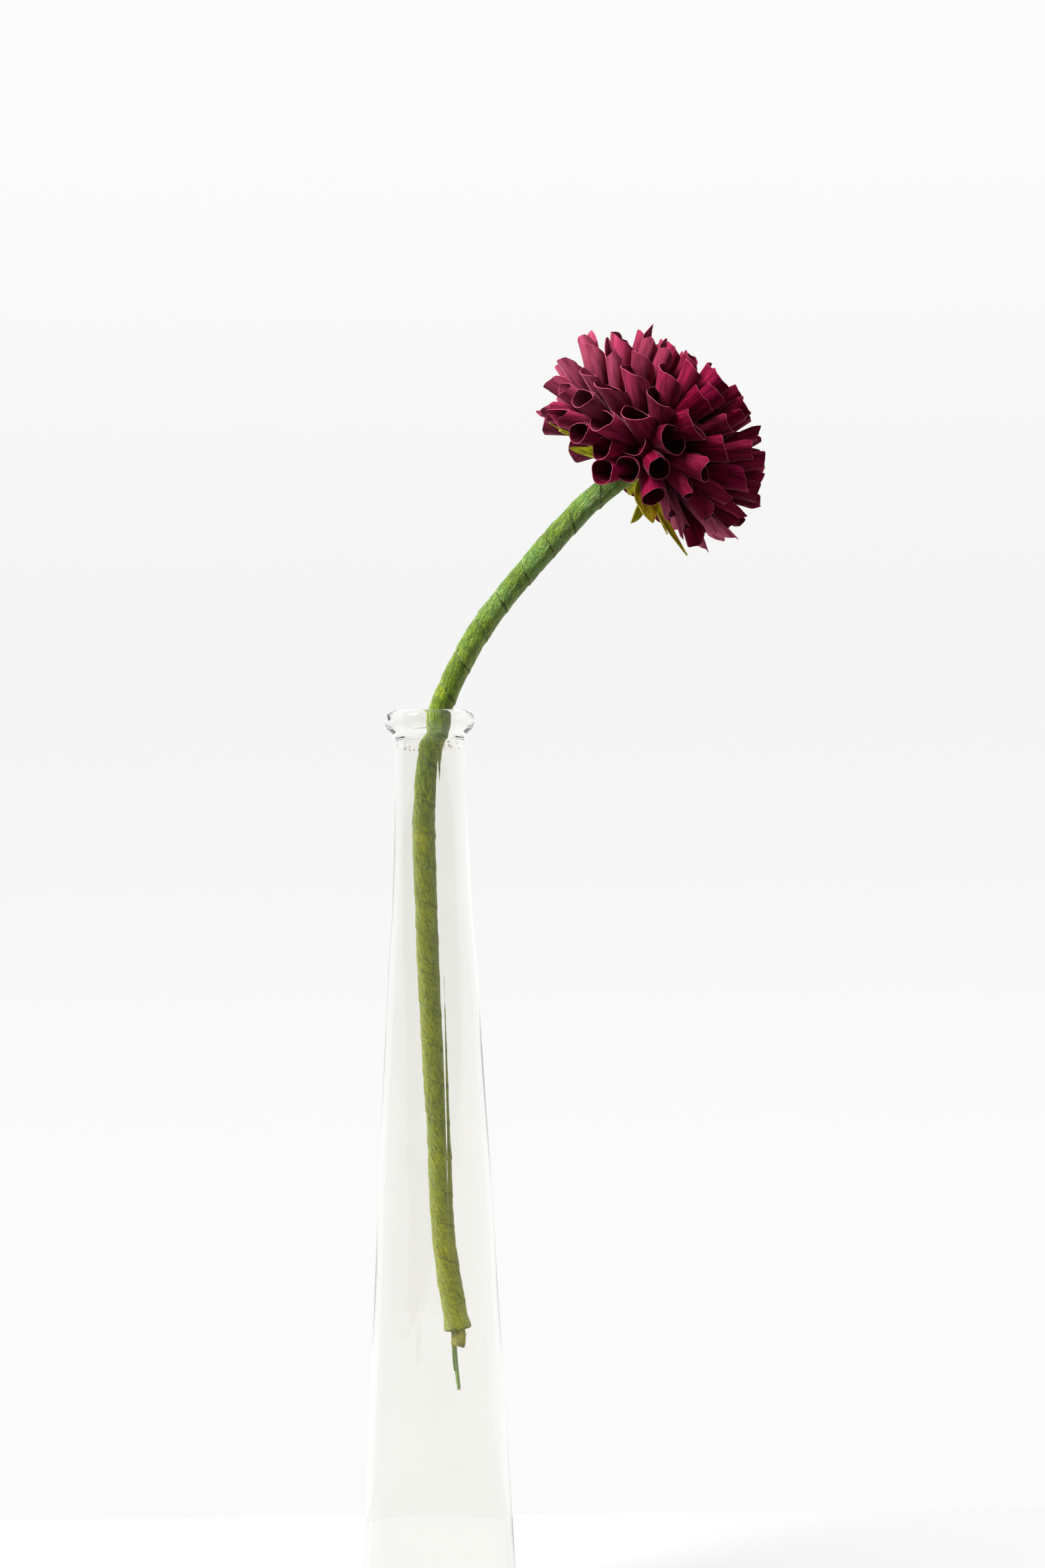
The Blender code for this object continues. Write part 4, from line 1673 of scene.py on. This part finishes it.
    def ball(self, finish: Material) -> Piece:
        """The paper ball under the petals.

        Args:
            finish: Its material.

        Returns:
            The new object.
        """
        side = self.place.ball_side
        around = np.linspace(0.0, math.tau, self.ball_turns, endpoint=False)
        rings, places = [], []
        for angle in np.linspace(0.0, math.pi, self.ball_rings):
            deep = self.place.ball_top if angle < math.pi / 2 else self.place.ball_back
            rough = 1 + self.ball_rough * np.sin(5 * around + 3 * angle) * math.sin(7 * angle)
            rings.append((side * math.sin(angle) * rough, deep * math.cos(angle)))
            places.append(side * np.column_stack([around, np.full(len(around), angle)]))
        faces = ring_faces(self.ball_rings, self.ball_turns)
        mesh = mesh_from("bloom_ball", turned_points(rings, around) * MM, faces)
        mesh.transform(self.place.metric_matrix())
        write_sheet(mesh, np.vstack(places))
        write_points(mesh, "tone", np.full(len(mesh.vertices), self.ball_tone))
        face_outwards(mesh)
        smooth_shading(mesh)
        mesh.materials.append(finish)
        return link_object("bloom_ball", mesh)

    def build(self, layer: PetalLayer, finish: CrepePaper) -> None:
        """Builds the petals and the ball.

        Args:
            layer: The tree that sets forms on points.
            finish: The petals' paper.
        """
        material = finish.material()
        forms = self.forms()
        meshes = [form.mesh(f"petal_form_{k:02d}") for k, (_, form) in enumerate(forms)]
        petals = layer.lay("bloom_petals", self.layout(forms), meshes, material, self.seed)
        declare(petals, "bloom")
        declare(self.ball(material), "bloom")


@dataclass
class Tuft:
    """The fringed strip of bright paper rolled up at the bloom's top."""

    place: BloomPlace = field(default_factory=BloomPlace)
    root: float = 14.0
    tip: float = 32.0
    plug_radius: float = 3.2
    tip_radius: float = 6.0
    strips: int = 54
    strip_width: float = 1.3
    thickness: float = 0.25
    curl: float = 1.3
    taper: float = 0.55
    twist: float = 0.8
    trough: float = 0.22
    rows: int = 8
    shortest: float = 0.86
    golden_angle: float = 2.39996
    form_count: int = 5
    form_seed: int = 40
    seed: int = 5

    def strip(self, name: str, seed: int) -> Mesh:
        """One strip of the fringe, standing along Z and curling a little.

        Args:
            name: The mesh's name.
            seed: The seed of its shape.

        Returns:
            A thin closed mesh.
        """
        curl, twist = np.random.default_rng(seed).uniform(-1, 1, 2)
        across = (-1.0, 0.0, 1.0)
        middle = np.zeros((self.rows, len(across), 3))
        places = np.zeros((self.rows, len(across), 2))
        length = self.tip - self.root
        for i, v in enumerate(np.linspace(0, 1, self.rows)):
            half = self.strip_width / 2 * (1 - self.taper * v**3)
            turn = self.twist * twist * v
            for j, u in enumerate(across):
                side = u * half
                bow = (self.curl + curl) * v**2 + self.trough * abs(side)
                middle[i, j] = (bow + side * math.sin(turn), side * math.cos(turn), length * v)
                places[i, j] = (side, length * v)
        return paper_shell(name, middle, places, self.thickness)

    def build(self, layer: PetalLayer, finish: CrepePaper) -> None:
        """Builds the tuft.

        Args:
            layer: The tree that sets forms on points.
            finish: The tuft's paper.
        """
        forms = [self.strip(f"strip_form_{k}", self.form_seed + k) for k in range(self.form_count)]
        frame = self.place.matrix()
        draw = np.random.default_rng(self.seed)
        splay = (self.tip_radius - self.plug_radius) / (self.tip - self.root)
        placed = []
        for k in range(self.strips):
            share = (k + 0.5) / self.strips
            far = math.sqrt(share)
            azimuth = k * self.golden_angle
            out = self.plug_radius * far
            local = Vector((out * math.cos(azimuth), out * math.sin(azimuth), self.root))
            tilt = Matrix.Rotation(azimuth, 3, "Z") @ Matrix.Rotation(splay * far, 3, "Y")
            tall = self.shortest + (1 - self.shortest) * draw.random() - 0.08 * share
            point = tuple(frame @ local * MM)
            turn = tuple((frame.to_3x3() @ tilt).to_euler())
            placed.append(Placed(point, turn, (1.0, 1.0, tall), int(draw.integers(self.form_count))))
        tuft = layer.lay("bloom_tuft", placed, forms, finish.material(), self.seed)
        declare(tuft, "bloom_centre")


# Calyx


@dataclass(frozen=True)
class Sepal:
    """One pointed sepal.

    Holds its azimuth in degrees, its tip's distance from the bloom's axis and place
    along it, its half width, its twist in degrees, how far it folds, and its tone.
    """

    azimuth: float
    tip_radius: float
    tip_place: float
    half_width: float
    twist: float = 0.0
    fold: float = 0.25
    tone: float = 0.6


@dataclass
class Calyx:
    """The green cup under the bloom and its sepals.

    The cup's foot is a share of the ball's back, and bunching draws rings to the foot.
    """

    place: BloomPlace = field(default_factory=BloomPlace)
    cup_room: float = 0.7
    cup_wall: float = 1.8
    cup_rim: float = -12.3
    cup_foot: float = 0.955
    cup_bunching: float = 1.6
    rim_drop: float = 0.2
    crimp: float = 0.012
    crimps: int = 9
    hub_radius: float = 5.8
    hub_back: float = -18.0
    bore: float = 4.2
    root_radius: float = 11.0
    root_place: float = -15.4
    knee_radius: float = 18.0
    cup_turns: int = 60
    cup_steps: int = 9
    cup_tone: float = 0.3
    sheet_length: float = 34.0
    thickness: float = 0.4
    rows: int = 20
    columns: int = 9
    flutter: float = 0.22
    fine_flutter: float = 0.12
    twisted_by: float = 0.4
    thinnest: float = 0.05
    seed: int = 500
    sepals: tuple[Sepal, ...] = (
        Sepal(-82.0, 35.0, -23.0, 2.8, 10.0),
        Sepal(-62.0, 33.0, -23.5, 3.4, -14.0),
        Sepal(45.0, 29.5, -26.0, 5.6, 44.0, 0.1, 1.0),
        Sepal(50.0, 19.0, -31.0, 4.5, -22.0, 0.25, 0.3),
        Sepal(80.0, 39.5, -25.5, 1.6, 75.0, 0.25, 0.8),
        Sepal(118.0, 31.0, -23.0, 3.5, 18.0),
        Sepal(168.0, 27.0, -20.5, 3.7, -10.0),
        Sepal(-132.0, 32.0, -23.0, 3.7, 16.0),
    )

    def cup_radius(self, offset: float, height: float) -> float:
        """Radius of the ball's back moved out by an offset, at a height."""
        deep = self.place.ball_back + offset
        return (self.place.ball_side + offset) * math.sqrt(max(0.0, 1 - (height / deep) ** 2))

    def profile(self) -> list[tuple[float, float]]:
        """The cup's section, up its inside and down its outside.

        Returns:
            Pairs of a radius and a height along the bloom's axis.
        """
        inner = self.place.ball_side + self.cup_room
        start = -(self.place.ball_back + self.cup_room) * math.sqrt(1 - (self.bore / inner) ** 2)
        end = -(self.place.ball_back + self.cup_wall) * self.cup_foot
        line = []
        for share in np.linspace(0.0, 1.0, self.cup_steps):
            height = start + (self.cup_rim - start) * share**self.cup_bunching
            line.append((self.cup_radius(self.cup_room, height), height))
        for share in np.linspace(0.0, 1.0, self.cup_steps):
            height = self.cup_rim + (end - self.cup_rim) * share - self.rim_drop
            line.append((self.cup_radius(self.cup_wall, height), height))
        return [*line, (self.hub_radius, self.hub_back), (self.bore, self.hub_back)]

    def cup(self) -> Mesh:
        """The cup, turned round the bloom's axis.

        Returns:
            A closed mesh in the bloom's own frame, in metres.
        """
        around = np.linspace(0.0, math.tau, self.cup_turns, endpoint=False)
        rings, places = [], []
        for radius, height in self.profile():
            wavy = radius * (1 + self.crimp * np.sin(self.crimps * around + height))
            rings.append((wavy, height))
            places.append(np.column_stack([radius * around, np.full(len(around), height)]))
        faces = ring_faces(len(rings), self.cup_turns, joined=True)
        mesh = mesh_from("calyx_cup", turned_points(rings, around) * MM, faces)
        write_sheet(mesh, np.vstack(places))
        for label, value in (("rim", 0.0), ("inside", 0.0), ("tone", self.cup_tone)):
            write_points(mesh, label, np.full(len(mesh.vertices), value))
        face_outwards(mesh)
        return mesh

    @staticmethod
    def bow(share: float, start: float, knee: float, end: float) -> float:
        """A smooth way from a start to an end, drawn towards a knee."""
        return start * (1 - share) ** 2 + knee * 2 * share * (1 - share) + end * share * share

    def leaf(self, sepal: Sepal, name: str) -> Mesh:
        """One sepal from under the cup's rim outwards.

        Args:
            sepal: Its sizes.
            name: The mesh's name.

        Returns:
            A thin closed mesh in the bloom's own frame, in metres.
        """
        azimuth = math.radians(sepal.azimuth)
        out = np.array((math.cos(azimuth), math.sin(azimuth), 0.0))
        side = np.array((-math.sin(azimuth), math.cos(azimuth), 0.0))
        up = np.array((0.0, 0.0, 1.0))
        middle = np.zeros((self.rows, self.columns, 3))
        places = np.zeros((self.rows, self.columns, 2))
        phase = np.random.default_rng(int(sepal.azimuth) + self.seed).uniform(0, math.tau, 3)
        knee_place = (self.root_place + sepal.tip_place) / 2
        for i, t in enumerate(np.linspace(0, 1, self.rows)):
            far = self.bow(t, self.root_radius, self.knee_radius, sepal.tip_radius)
            high = self.bow(t, self.root_place, knee_place, sepal.tip_place)
            share = math.sin(math.pi * (0.22 + 0.77 * t)) ** 0.8
            width = sepal.half_width * max(self.thinnest, share)
            turn = math.radians(sepal.twist) * min(1.0, t / self.twisted_by)
            across = side * math.cos(turn) + up * math.sin(turn)
            raised = up * math.cos(turn) - side * math.sin(turn)
            for j, u in enumerate(np.linspace(-1, 1, self.columns)):
                lift = sepal.fold * width * abs(u) ** 1.3
                lift += self.flutter * math.sin(7 * t + 4 * u + phase[0]) * abs(u)
                lift += self.fine_flutter * math.sin(19 * t + phase[1]) * u
                middle[i, j] = out * far + up * high + across * width * u + raised * lift
                places[i, j] = (width * u, self.sheet_length * t)
        mesh = paper_shell(name, middle, places, self.thickness)
        write_points(mesh, "tone", np.full(len(mesh.vertices), sepal.tone))
        return mesh

    def build(self, finish: CrepePaper) -> None:
        """Builds the cup and the sepals as one piece.

        Args:
            finish: Their paper.
        """
        work = bmesh.new()
        work.from_mesh(self.cup())
        for k, sepal in enumerate(self.sepals):
            work.from_mesh(self.leaf(sepal, f"sepal_{k}"))
        mesh = bpy.data.meshes.new("calyx_sepals")
        work.to_mesh(mesh)
        work.free()
        mesh.transform(self.place.metric_matrix())
        smooth_shading(mesh, CRISP_PAPER)
        mesh.materials.append(finish.material())
        declare(link_object("calyx_sepals", mesh), "calyx")


# Stem


@dataclass
class Stem:
    """The wound stem, the rolled core that shows at its end, and the wires."""

    place: BloomPlace = field(default_factory=BloomPlace)
    line: tuple[Point, ...] = (
        (8.3, 4.0, 112.4), (4.4, 4.7, 137.2), (2.4, 5.3, 156.7), (1.3, 6.1, 189.2),
        (0.0, 6.3, 215.4), (-1.6, 6.5, 248.0), (-2.5, 6.1, 280.7), (-2.9, 5.4, 306.8),
        (-1.9, 2.0, 326.4), (0.2, -0.6, 339.3), (2.4, -2.0, 346.8), (4.7, -3.3, 356.1),
        (8.7, -5.2, 365.1), (14.0, -7.1, 375.3), (19.4, -8.7, 384.3), (28.9, -11.0, 397.0),
        (39.9, -13.3, 409.6), (51.3, -15.5, 422.2), (63.9, -17.0, 434.7),
    )
    hub_back: float = -17.6
    radius: float = 4.45
    flare: float = 1.2
    flare_length: float = 9.0
    uneven: float = 0.15
    bevel: float = 1.8
    bevel_share: float = 0.62
    winding: Winding = Winding(44, 0.55, 14.0, 0.26, 0.95)
    core_radius: float = 2.75
    core_points: int = 60
    core_taper: float = 0.5
    core_taper_length: float = 2.2
    core_ragged: float = 0.8
    core_ragged_length: float = 1.4
    core_waves: tuple[tuple[float, int], ...] = ((0.5, 3), (0.35, 7), (0.25, 13))
    core_seed: int = 21
    core_winding: Winding = Winding(32, 0.35, 3.2, 0.25, 0.5)
    stub_end: Point = (7.8, 4.0, 106.3)
    wire_radius: float = 0.72
    wire_line: tuple[Point, ...] = ((8.4, 2.0, 89.3), (7.5, 3.5, 98.2), (6.9, 4.0, 106.3))
    strand_radius: float = 0.38
    strand_line: tuple[Point, ...] = ((6.8, 3.0, 96.6), (6.3, 3.4, 101.0), (6.1, 4.0, 106.3))
    wire_hidden: float = 4.0
    wire_bevel: float = 0.93
    wire_winding: Winding = Winding(16, 0.3)

    def wrap(self, path: WoundPath, finish: StemPaper) -> Piece:
        """The crepe winding, from its bevelled cut end up into the calyx.

        Args:
            path: The tree that sweeps a line.
            finish: The stem's paper.

        Returns:
            The new object.
        """
        step = self.winding.step
        line = smooth_line([*self.line, tuple(self.place.on_axis(self.hub_back))], step)
        walked = np.arange(len(line)) * step
        flare = self.flare * np.maximum(0.0, 1 - walked / self.flare_length) ** 2
        wave = np.sin(walked / 9) * np.sin(walked / 31 + 1)
        girths = self.radius + flare + self.uneven * wave
        start = np.clip(walked / self.bevel, 0.0, 1.0)
        girths *= self.bevel_share + (1 - self.bevel_share) * np.sqrt(start * (2 - start))
        return path.wind("stem_winding", line, girths, self.winding, finish.material())

    def core(self, path: WoundPath, finish: CutPaper) -> Piece:
        """The rolled paper stub below the winding, with a ragged end.

        Args:
            path: The tree that sweeps a line.
            finish: The core's paper.

        Returns:
            The new object.
        """
        step = self.core_winding.step
        line = smooth_line((self.stub_end, *self.line[:2]), step)[: self.core_points]
        walked = np.arange(len(line)) * step
        taper = np.maximum(0.0, 1 - walked / self.core_taper_length) ** 2
        girths = self.core_radius - self.core_taper * taper
        stub = path.wind("core_stub", line, girths, self.core_winding, finish.material())
        phase = np.random.default_rng(self.core_seed).uniform(0, math.tau, len(self.core_waves))
        end = Vector(self.stub_end) * MM
        reach = self.core_ragged_length * MM
        for vertex in stub.data.vertices:
            near = vertex.co - end
            if near.z < reach and near.xy.length > 0.2 * MM:
                around = math.atan2(near.y, near.x)
                ragged = 0.0
                for (tall, count), start in zip(self.core_waves, phase):
                    ragged += tall * math.sin(count * around + start)
                vertex.co.z += ragged * self.core_ragged * MM * (1 - max(0.0, near.z) / reach)
        stub.data.update()
        return stub

    def wires(self, path: WoundPath, finish: PaintedWire) -> list[Piece]:
        """The wire's tail and the thinner strand beside it.

        Args:
            path: The tree that sweeps a line.
            finish: The wire's lacquer.

        Returns:
            The new objects.
        """
        material = finish.material()
        made = []
        for name, knots, radius in (
            ("wire_tail", self.wire_line, self.wire_radius),
            ("wire_strand", self.strand_line, self.strand_radius),
        ):
            hidden = np.array(knots[-1]) + (0.0, 0.0, self.wire_hidden)
            line = smooth_line((*knots, hidden), self.wire_winding.step)
            girths = np.full(len(line), radius)
            girths[1] *= self.wire_bevel
            made.append(path.wind(name, line, girths, self.wire_winding, material))
        return made

    def build(self, path: WoundPath, paper: StemPaper, core: CutPaper, wire: PaintedWire) -> None:
        """Builds the stem's pieces.

        Args:
            path: The tree that sweeps a line.
            paper: The winding's finish.
            core: The core's finish.
            wire: The wires' finish.
        """
        declare(self.wrap(path, paper), "stem_wrap")
        declare(self.core(path, core), "stem_core")
        for piece in self.wires(path, wire):
            declare(piece, "stem_wire")


# Vase


@dataclass
class Vase:
    """The tall bottle vase, turned from its profile, with two mould seams."""

    outer: tuple[tuple[float, float], ...] = (
        (27.6, 0.0), (29.4, 1.0), (30.1, 4.0), (29.9, 14.0), (29.0, 34.0),
        (26.4, 86.0), (23.7, 138.0), (21.7, 177.0), (19.5, 216.0), (17.2, 255.0),
        (15.6, 276.0), (14.8, 294.0), (14.2, 312.0), (13.8, 328.0), (13.6, 338.5),
    )
    lip: tuple[tuple[float, float], ...] = (
        (13.6, 340.5), (13.5, 342.2), (13.7, 343.8), (14.8, 345.6), (16.5, 347.2),
        (17.5, 349.4), (17.4, 351.8), (16.4, 353.9), (14.6, 354.9), (12.2, 354.7),
    )
    lip_from: float = 338.0
    mouth_radius: float = 10.5
    mouth_start: float = 343.0
    mouth_edge: float = 352.8
    wall_neck: float = 3.2
    wall_foot: float = 2.6
    wall_neck_height: float = 300.0
    floor_centre: float = 9.0
    floor_edge: float = 7.0
    floor_corner: float = 5.0
    turns: int = 120
    seam_azimuth: float = -75.0
    seam_height: float = 0.1
    seam_width: float = 0.5
    seam_heights: Range = (115.0, 170.0)
    seam_top: float = 350.0
    ripple: float = 0.04
    ripple_inside: float = 4.0
    ripple_edge: float = 30.0
    ripple_top: float = 345.0
    body_step: float = 1.2
    lip_step: float = 0.35
    inner_step: float = 2.5
    crisp: float = 40.0
    seed: int = 8

    @property
    def seams(self) -> tuple[float, float]:
        """The azimuths of the two mould seams in degrees."""
        return (self.seam_azimuth, self.seam_azimuth + 180)

    def azimuths(self) -> np.ndarray:
        """Azimuths of the profile's copies, closer together at the mould seams.

        Returns:
            The azimuths in radians.
        """
        even = np.linspace(0, 360, self.turns, endpoint=False)
        extra = [seam + away for seam in self.seams for away in np.arange(-3, 3.1, 0.5)]
        both = np.unique(np.round(np.mod(np.concatenate([even, extra]), 360), 3))
        return np.radians(both)

    def outer_line(self) -> np.ndarray:
        """The outer profile as a smooth line of (radius, height), denser at the lip.

        Returns:
            The line's points, one a row.
        """
        knots = [(r, 0.0, z) for r, z in self.outer + self.lip]
        body = smooth_line(knots, self.body_step)
        lip = smooth_line(knots[len(self.outer) - 2 :], self.lip_step)
        body = body[body[:, 2] < self.lip_from][::3]
        lip = lip[lip[:, 2] >= self.lip_from]
        return np.vstack([body, lip])[:, (0, 2)]

    def inner_line(self) -> np.ndarray:
        """The inner profile from the floor's middle up to the mouth.

        Returns:
            The line's radii and heights, one point a row.
        """
        inner = []
        for radius, height in self.outer[3:]:
            share = min(1.0, height / self.wall_neck_height)
            inner.append((radius - self.wall_foot - (self.wall_neck - self.wall_foot) * share, height))
        foot = inner[0][0]
        floor = [
            (0.0, self.floor_centre),
            (foot * 0.3, self.floor_centre - 0.3),
            (foot * 0.55, (self.floor_centre + self.floor_edge) / 2),
            (foot - self.floor_corner, self.floor_edge),
            (foot - self.floor_corner * 0.3, self.floor_edge + self.floor_corner * 0.3),
        ]
        mouth = [(self.mouth_radius, self.mouth_start), (self.mouth_radius, self.mouth_edge)]
        knots = [(r, 0.0, z) for r, z in floor + inner + mouth]
        return smooth_line(knots, self.inner_step)[:, (0, 2)]

    def build(self, finish: BlownGlass) -> None:
        """Builds the vase.

        Args:
            finish: Its glass.
        """
        angles = self.azimuths()
        profile = [(radius, height, True) for radius, height in self.outer_line()]
        profile += [(radius, height, False) for radius, height in self.inner_line()[::-1]]
        phase = np.random.default_rng(self.seed).uniform(0, math.tau, 4)
        turned = [angles - math.radians(seam) for seam in self.seams]
        away = np.min([np.abs(np.angle(np.exp(1j * turn))) for turn in turned], axis=0)
        rings = []
        for radius, height, outside in profile:
            far = np.full(len(angles), radius)
            if radius > WELD:
                far += self.waves(angles, height, outside, phase)
            if outside and height < self.seam_top:
                low, high = self.seam_heights
                tall = self.seam_height * min(1.0, max(0.0, height - low) / (high - low))
                far += tall * np.exp(-((away * radius / self.seam_width) ** 2))
            rings.append((far, height))
        faces = ring_faces(len(rings), len(angles))
        faces.append(tuple(reversed(range(len(angles)))))
        mesh = mesh_from("vase_bottle", turned_points(rings, angles) * MM, faces)
        face_outwards(mesh)
        smooth_shading(mesh, self.crisp)
        mesh.materials.append(finish.material())
        declare(link_object("vase_bottle", mesh), "vase")

    def waves(self, angles: np.ndarray, height: float, outside: bool, phase: np.ndarray) -> np.ndarray:
        """How far the glass waves out at one height, with less at the foot and the lip.

        Args:
            angles: The azimuths in radians.
            height: The height in millimetres.
            outside: Whether it is the outer side, which waves less.
            phase: Four random angles.

        Returns:
            The distance at each azimuth, in millimetres.
        """
        wave = np.sin(2 * angles + phase[0] + height / 60) * np.sin(height / 37 + phase[1])
        wave += 0.5 * np.sin(3 * angles + phase[2] - height / 45) * np.sin(height / 23 + phase[3])
        fade = min(1.0, height / self.ripple_edge)
        fade *= min(1.0, max(0.0, self.ripple_top - height) / self.ripple_edge)
        share = 1.0 if outside else self.ripple_inside
        return self.ripple * share * wave * fade


# Studio


@dataclass
class Studio:
    """The pale floor, the white surround, the soft light and the camera."""

    camera_place: Point = (0.03593, -1.44, 0.32566)
    camera_roll: float = 0.675
    lens: float = 84.77
    sensor: float = 36.0
    aim: Point = (0.05, 0.0, 0.35)
    floor_half: float = 1.6
    floor_back: float = 0.207
    floor_depth: float = 0.004
    floor_colour: Colour = (0.2, 0.2, 0.2)
    floor_glow: float = 0.57
    surround: float = 0.91
    surround_rise: float = 0.06
    surround_reach: float = 0.16
    surround_tint: Colour = (1.0, 1.0, 0.997)
    dimmest: float = 0.034
    light_way: Point = (0.14, 0.75, 0.38)
    light_slopes: Range = (-0.58, 0.4)
    light_levels: Range = (0.03, 1.35)
    key_place: Point = (-0.8, -0.5, 1.5)
    key_size: float = 0.55
    key_power: float = 46.0
    key_in_glass: float = 5.0
    key_lobe: Range = (0.72, 1.0)

    def floor(self) -> None:
        """Lays the pale sheet that the vase stands on."""
        half = self.floor_half
        corners = [(-half, -2 * half), (half, -2 * half), (half, self.floor_back), (-half, self.floor_back)]
        points = [(x, y, z) for z in (0.0, -self.floor_depth) for x, y in corners]
        faces = [(0, 1, 2, 3), (7, 6, 5, 4), *ring_faces(2, len(corners))]
        mesh = mesh_from("studio_floor", np.array(points), faces)
        face_outwards(mesh)
        sheet = StudioSheet("studio_sheet", self.floor_colour, self.floor_glow)
        mesh.materials.append(sheet.material())
        link_object("studio_floor", mesh)

    def world(self) -> None:
        """Lights the scene from a white surround.

        The camera sees an even white. The light that falls on the pieces grows upwards
        and away from the camera instead, and glass also shows the soft light's glow.
        """
        world = bpy.data.worlds.new("white_surround")
        bpy.context.scene.world = world
        world.use_nodes = True
        tree = NodeTree(world.node_tree)
        way = tree.add("ShaderNodeTexCoord").outputs["Generated"]
        _, _, up = tree.separate(way)
        away = tree.maths("ABSOLUTE", tree.maths("SUBTRACT", up, self.dimmest))
        brightest = self.surround + self.surround_rise
        seen = tree.fill(
            world.node_tree.nodes["Background"],
            Color=(*self.surround_tint, 1.0),
            Strength=tree.remap(away, 0.0, self.surround_reach, self.surround, brightest),
        )
        slope = tree.dot(way, self.light_way)
        near_lamp = tree.dot(way, Vector(self.key_place).normalized())
        level = tree.remap(slope, *self.light_slopes, *self.light_levels)
        lobe = tree.remap(near_lamp, *self.key_lobe, 0.0, self.key_in_glass)
        ray = tree.add("ShaderNodeLightPath").outputs
        in_glass = ray["Is Transmission Ray"]
        glow = tree.fill(
            tree.add("ShaderNodeBackground"),
            Color=WHITE,
            Strength=tree.weighted((level, 1.0), (lobe, in_glass)),
        )
        direct = tree.maths("LESS_THAN", ray["Diffuse Depth"], 0.5)
        straight = tree.maths("MAXIMUM", ray["Is Camera Ray"], in_glass)
        choice = tree.result("ShaderNodeMixShader", tree.times(straight, direct), glow, seen)
        tree.feed(world.node_tree.nodes["World Output"].inputs["Surface"], choice)

    def light(self) -> None:
        """Adds one soft square light at the upper left that faces the bloom."""
        lamp = bpy.data.lights.new("upper_left_softbox", "AREA")
        lamp.size = self.key_size
        lamp.energy = self.key_power
        thing = bpy.data.objects.new("upper_left_softbox", lamp)
        thing.location = self.key_place
        way = Vector(self.aim) - Vector(self.key_place)
        thing.rotation_euler = way.to_track_quat("-Z", "Y").to_euler()
        bpy.context.scene.collection.objects.link(thing)

    def camera(self) -> None:
        """Sets the camera at the photograph's viewing angle."""
        lens = bpy.data.cameras.new("photo_camera")
        lens.sensor_fit = "VERTICAL"
        lens.sensor_height = self.sensor
        lens.sensor_width = self.sensor
        lens.lens = self.lens
        thing = bpy.data.objects.new("photo_camera", lens)
        thing.location = self.camera_place
        thing.rotation_euler = (math.pi / 2, math.radians(self.camera_roll), 0.0)
        bpy.context.scene.collection.objects.link(thing)
        bpy.context.scene.camera = thing

    def build(self) -> None:
        """Builds the studio."""
        self.camera()
        self.world()
        self.floor()
        self.light()
        bpy.context.scene.view_settings.view_transform = "Standard"
        LOG.info("studio ready")


def main() -> None:
    """Builds every sub-assembly in order."""
    logging.basicConfig(level=logging.INFO, format="%(message)s")
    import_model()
    Studio().build()
    layer = PetalLayer()
    path = WoundPath()
    Vase().build(BlownGlass("vase_glass_clear", (0.97, 0.965, 0.943), speck=(0.25, 0.22, 0.12)))
    Stem().build(
        path,
        StemPaper(
            "stem_crepe_green",
            deep=(0.1, 0.16, 0.001),
            main=(0.165, 0.265, 0.001),
            pale=(0.42, 0.44, 0.006),
            bluish=(0.1, 0.26, 0.045),
            olive=(0.3, 0.3, 0.001),
        ),
        CutPaper("core_paper_pale", dark=(0.17, 0.16, 0.012), pale=(0.62, 0.58, 0.09)),
        PaintedWire("wire_green", lacquer=(0.17, 0.28, 0.045), steel=(0.5, 0.6, 0.35), bare_below=0.0905),
    )
    Calyx().build(
        CrepePaper(
            "sepal_crepe_green",
            deep=(0.11, 0.17, 0.045),
            main=(0.42, 0.4, 0.008),
            light=(0.74, 0.68, 0.03),
            edge=(0.55, 0.55, 0.16),
            root_painted_shade=1.0,
            inner_painted_shade=1.0,
            sheen=0.15,
            sheen_tint=(0.95, 1.0, 0.7),
        )
    )
    Bloom().build(
        layer,
        CrepePaper(
            "petal_crepe_burgundy",
            deep=(0.085, 0.001, 0.011),
            main=(0.16, 0.0016, 0.023),
            light=(0.29, 0.007, 0.052),
            edge=(0.62, 0.12, 0.22),
        ),
    )
    Tuft().build(
        layer,
        CrepePaper(
            "centre_crepe_pink",
            deep=(0.25, 0.01, 0.05),
            main=(0.45, 0.03, 0.1),
            light=(0.6, 0.08, 0.17),
            edge=(0.75, 0.3, 0.36),
            root_painted_shade=0.6,
            inner_painted_shade=1.0,
        ),
    )
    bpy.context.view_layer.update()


if __name__ == "__main__":
    main()
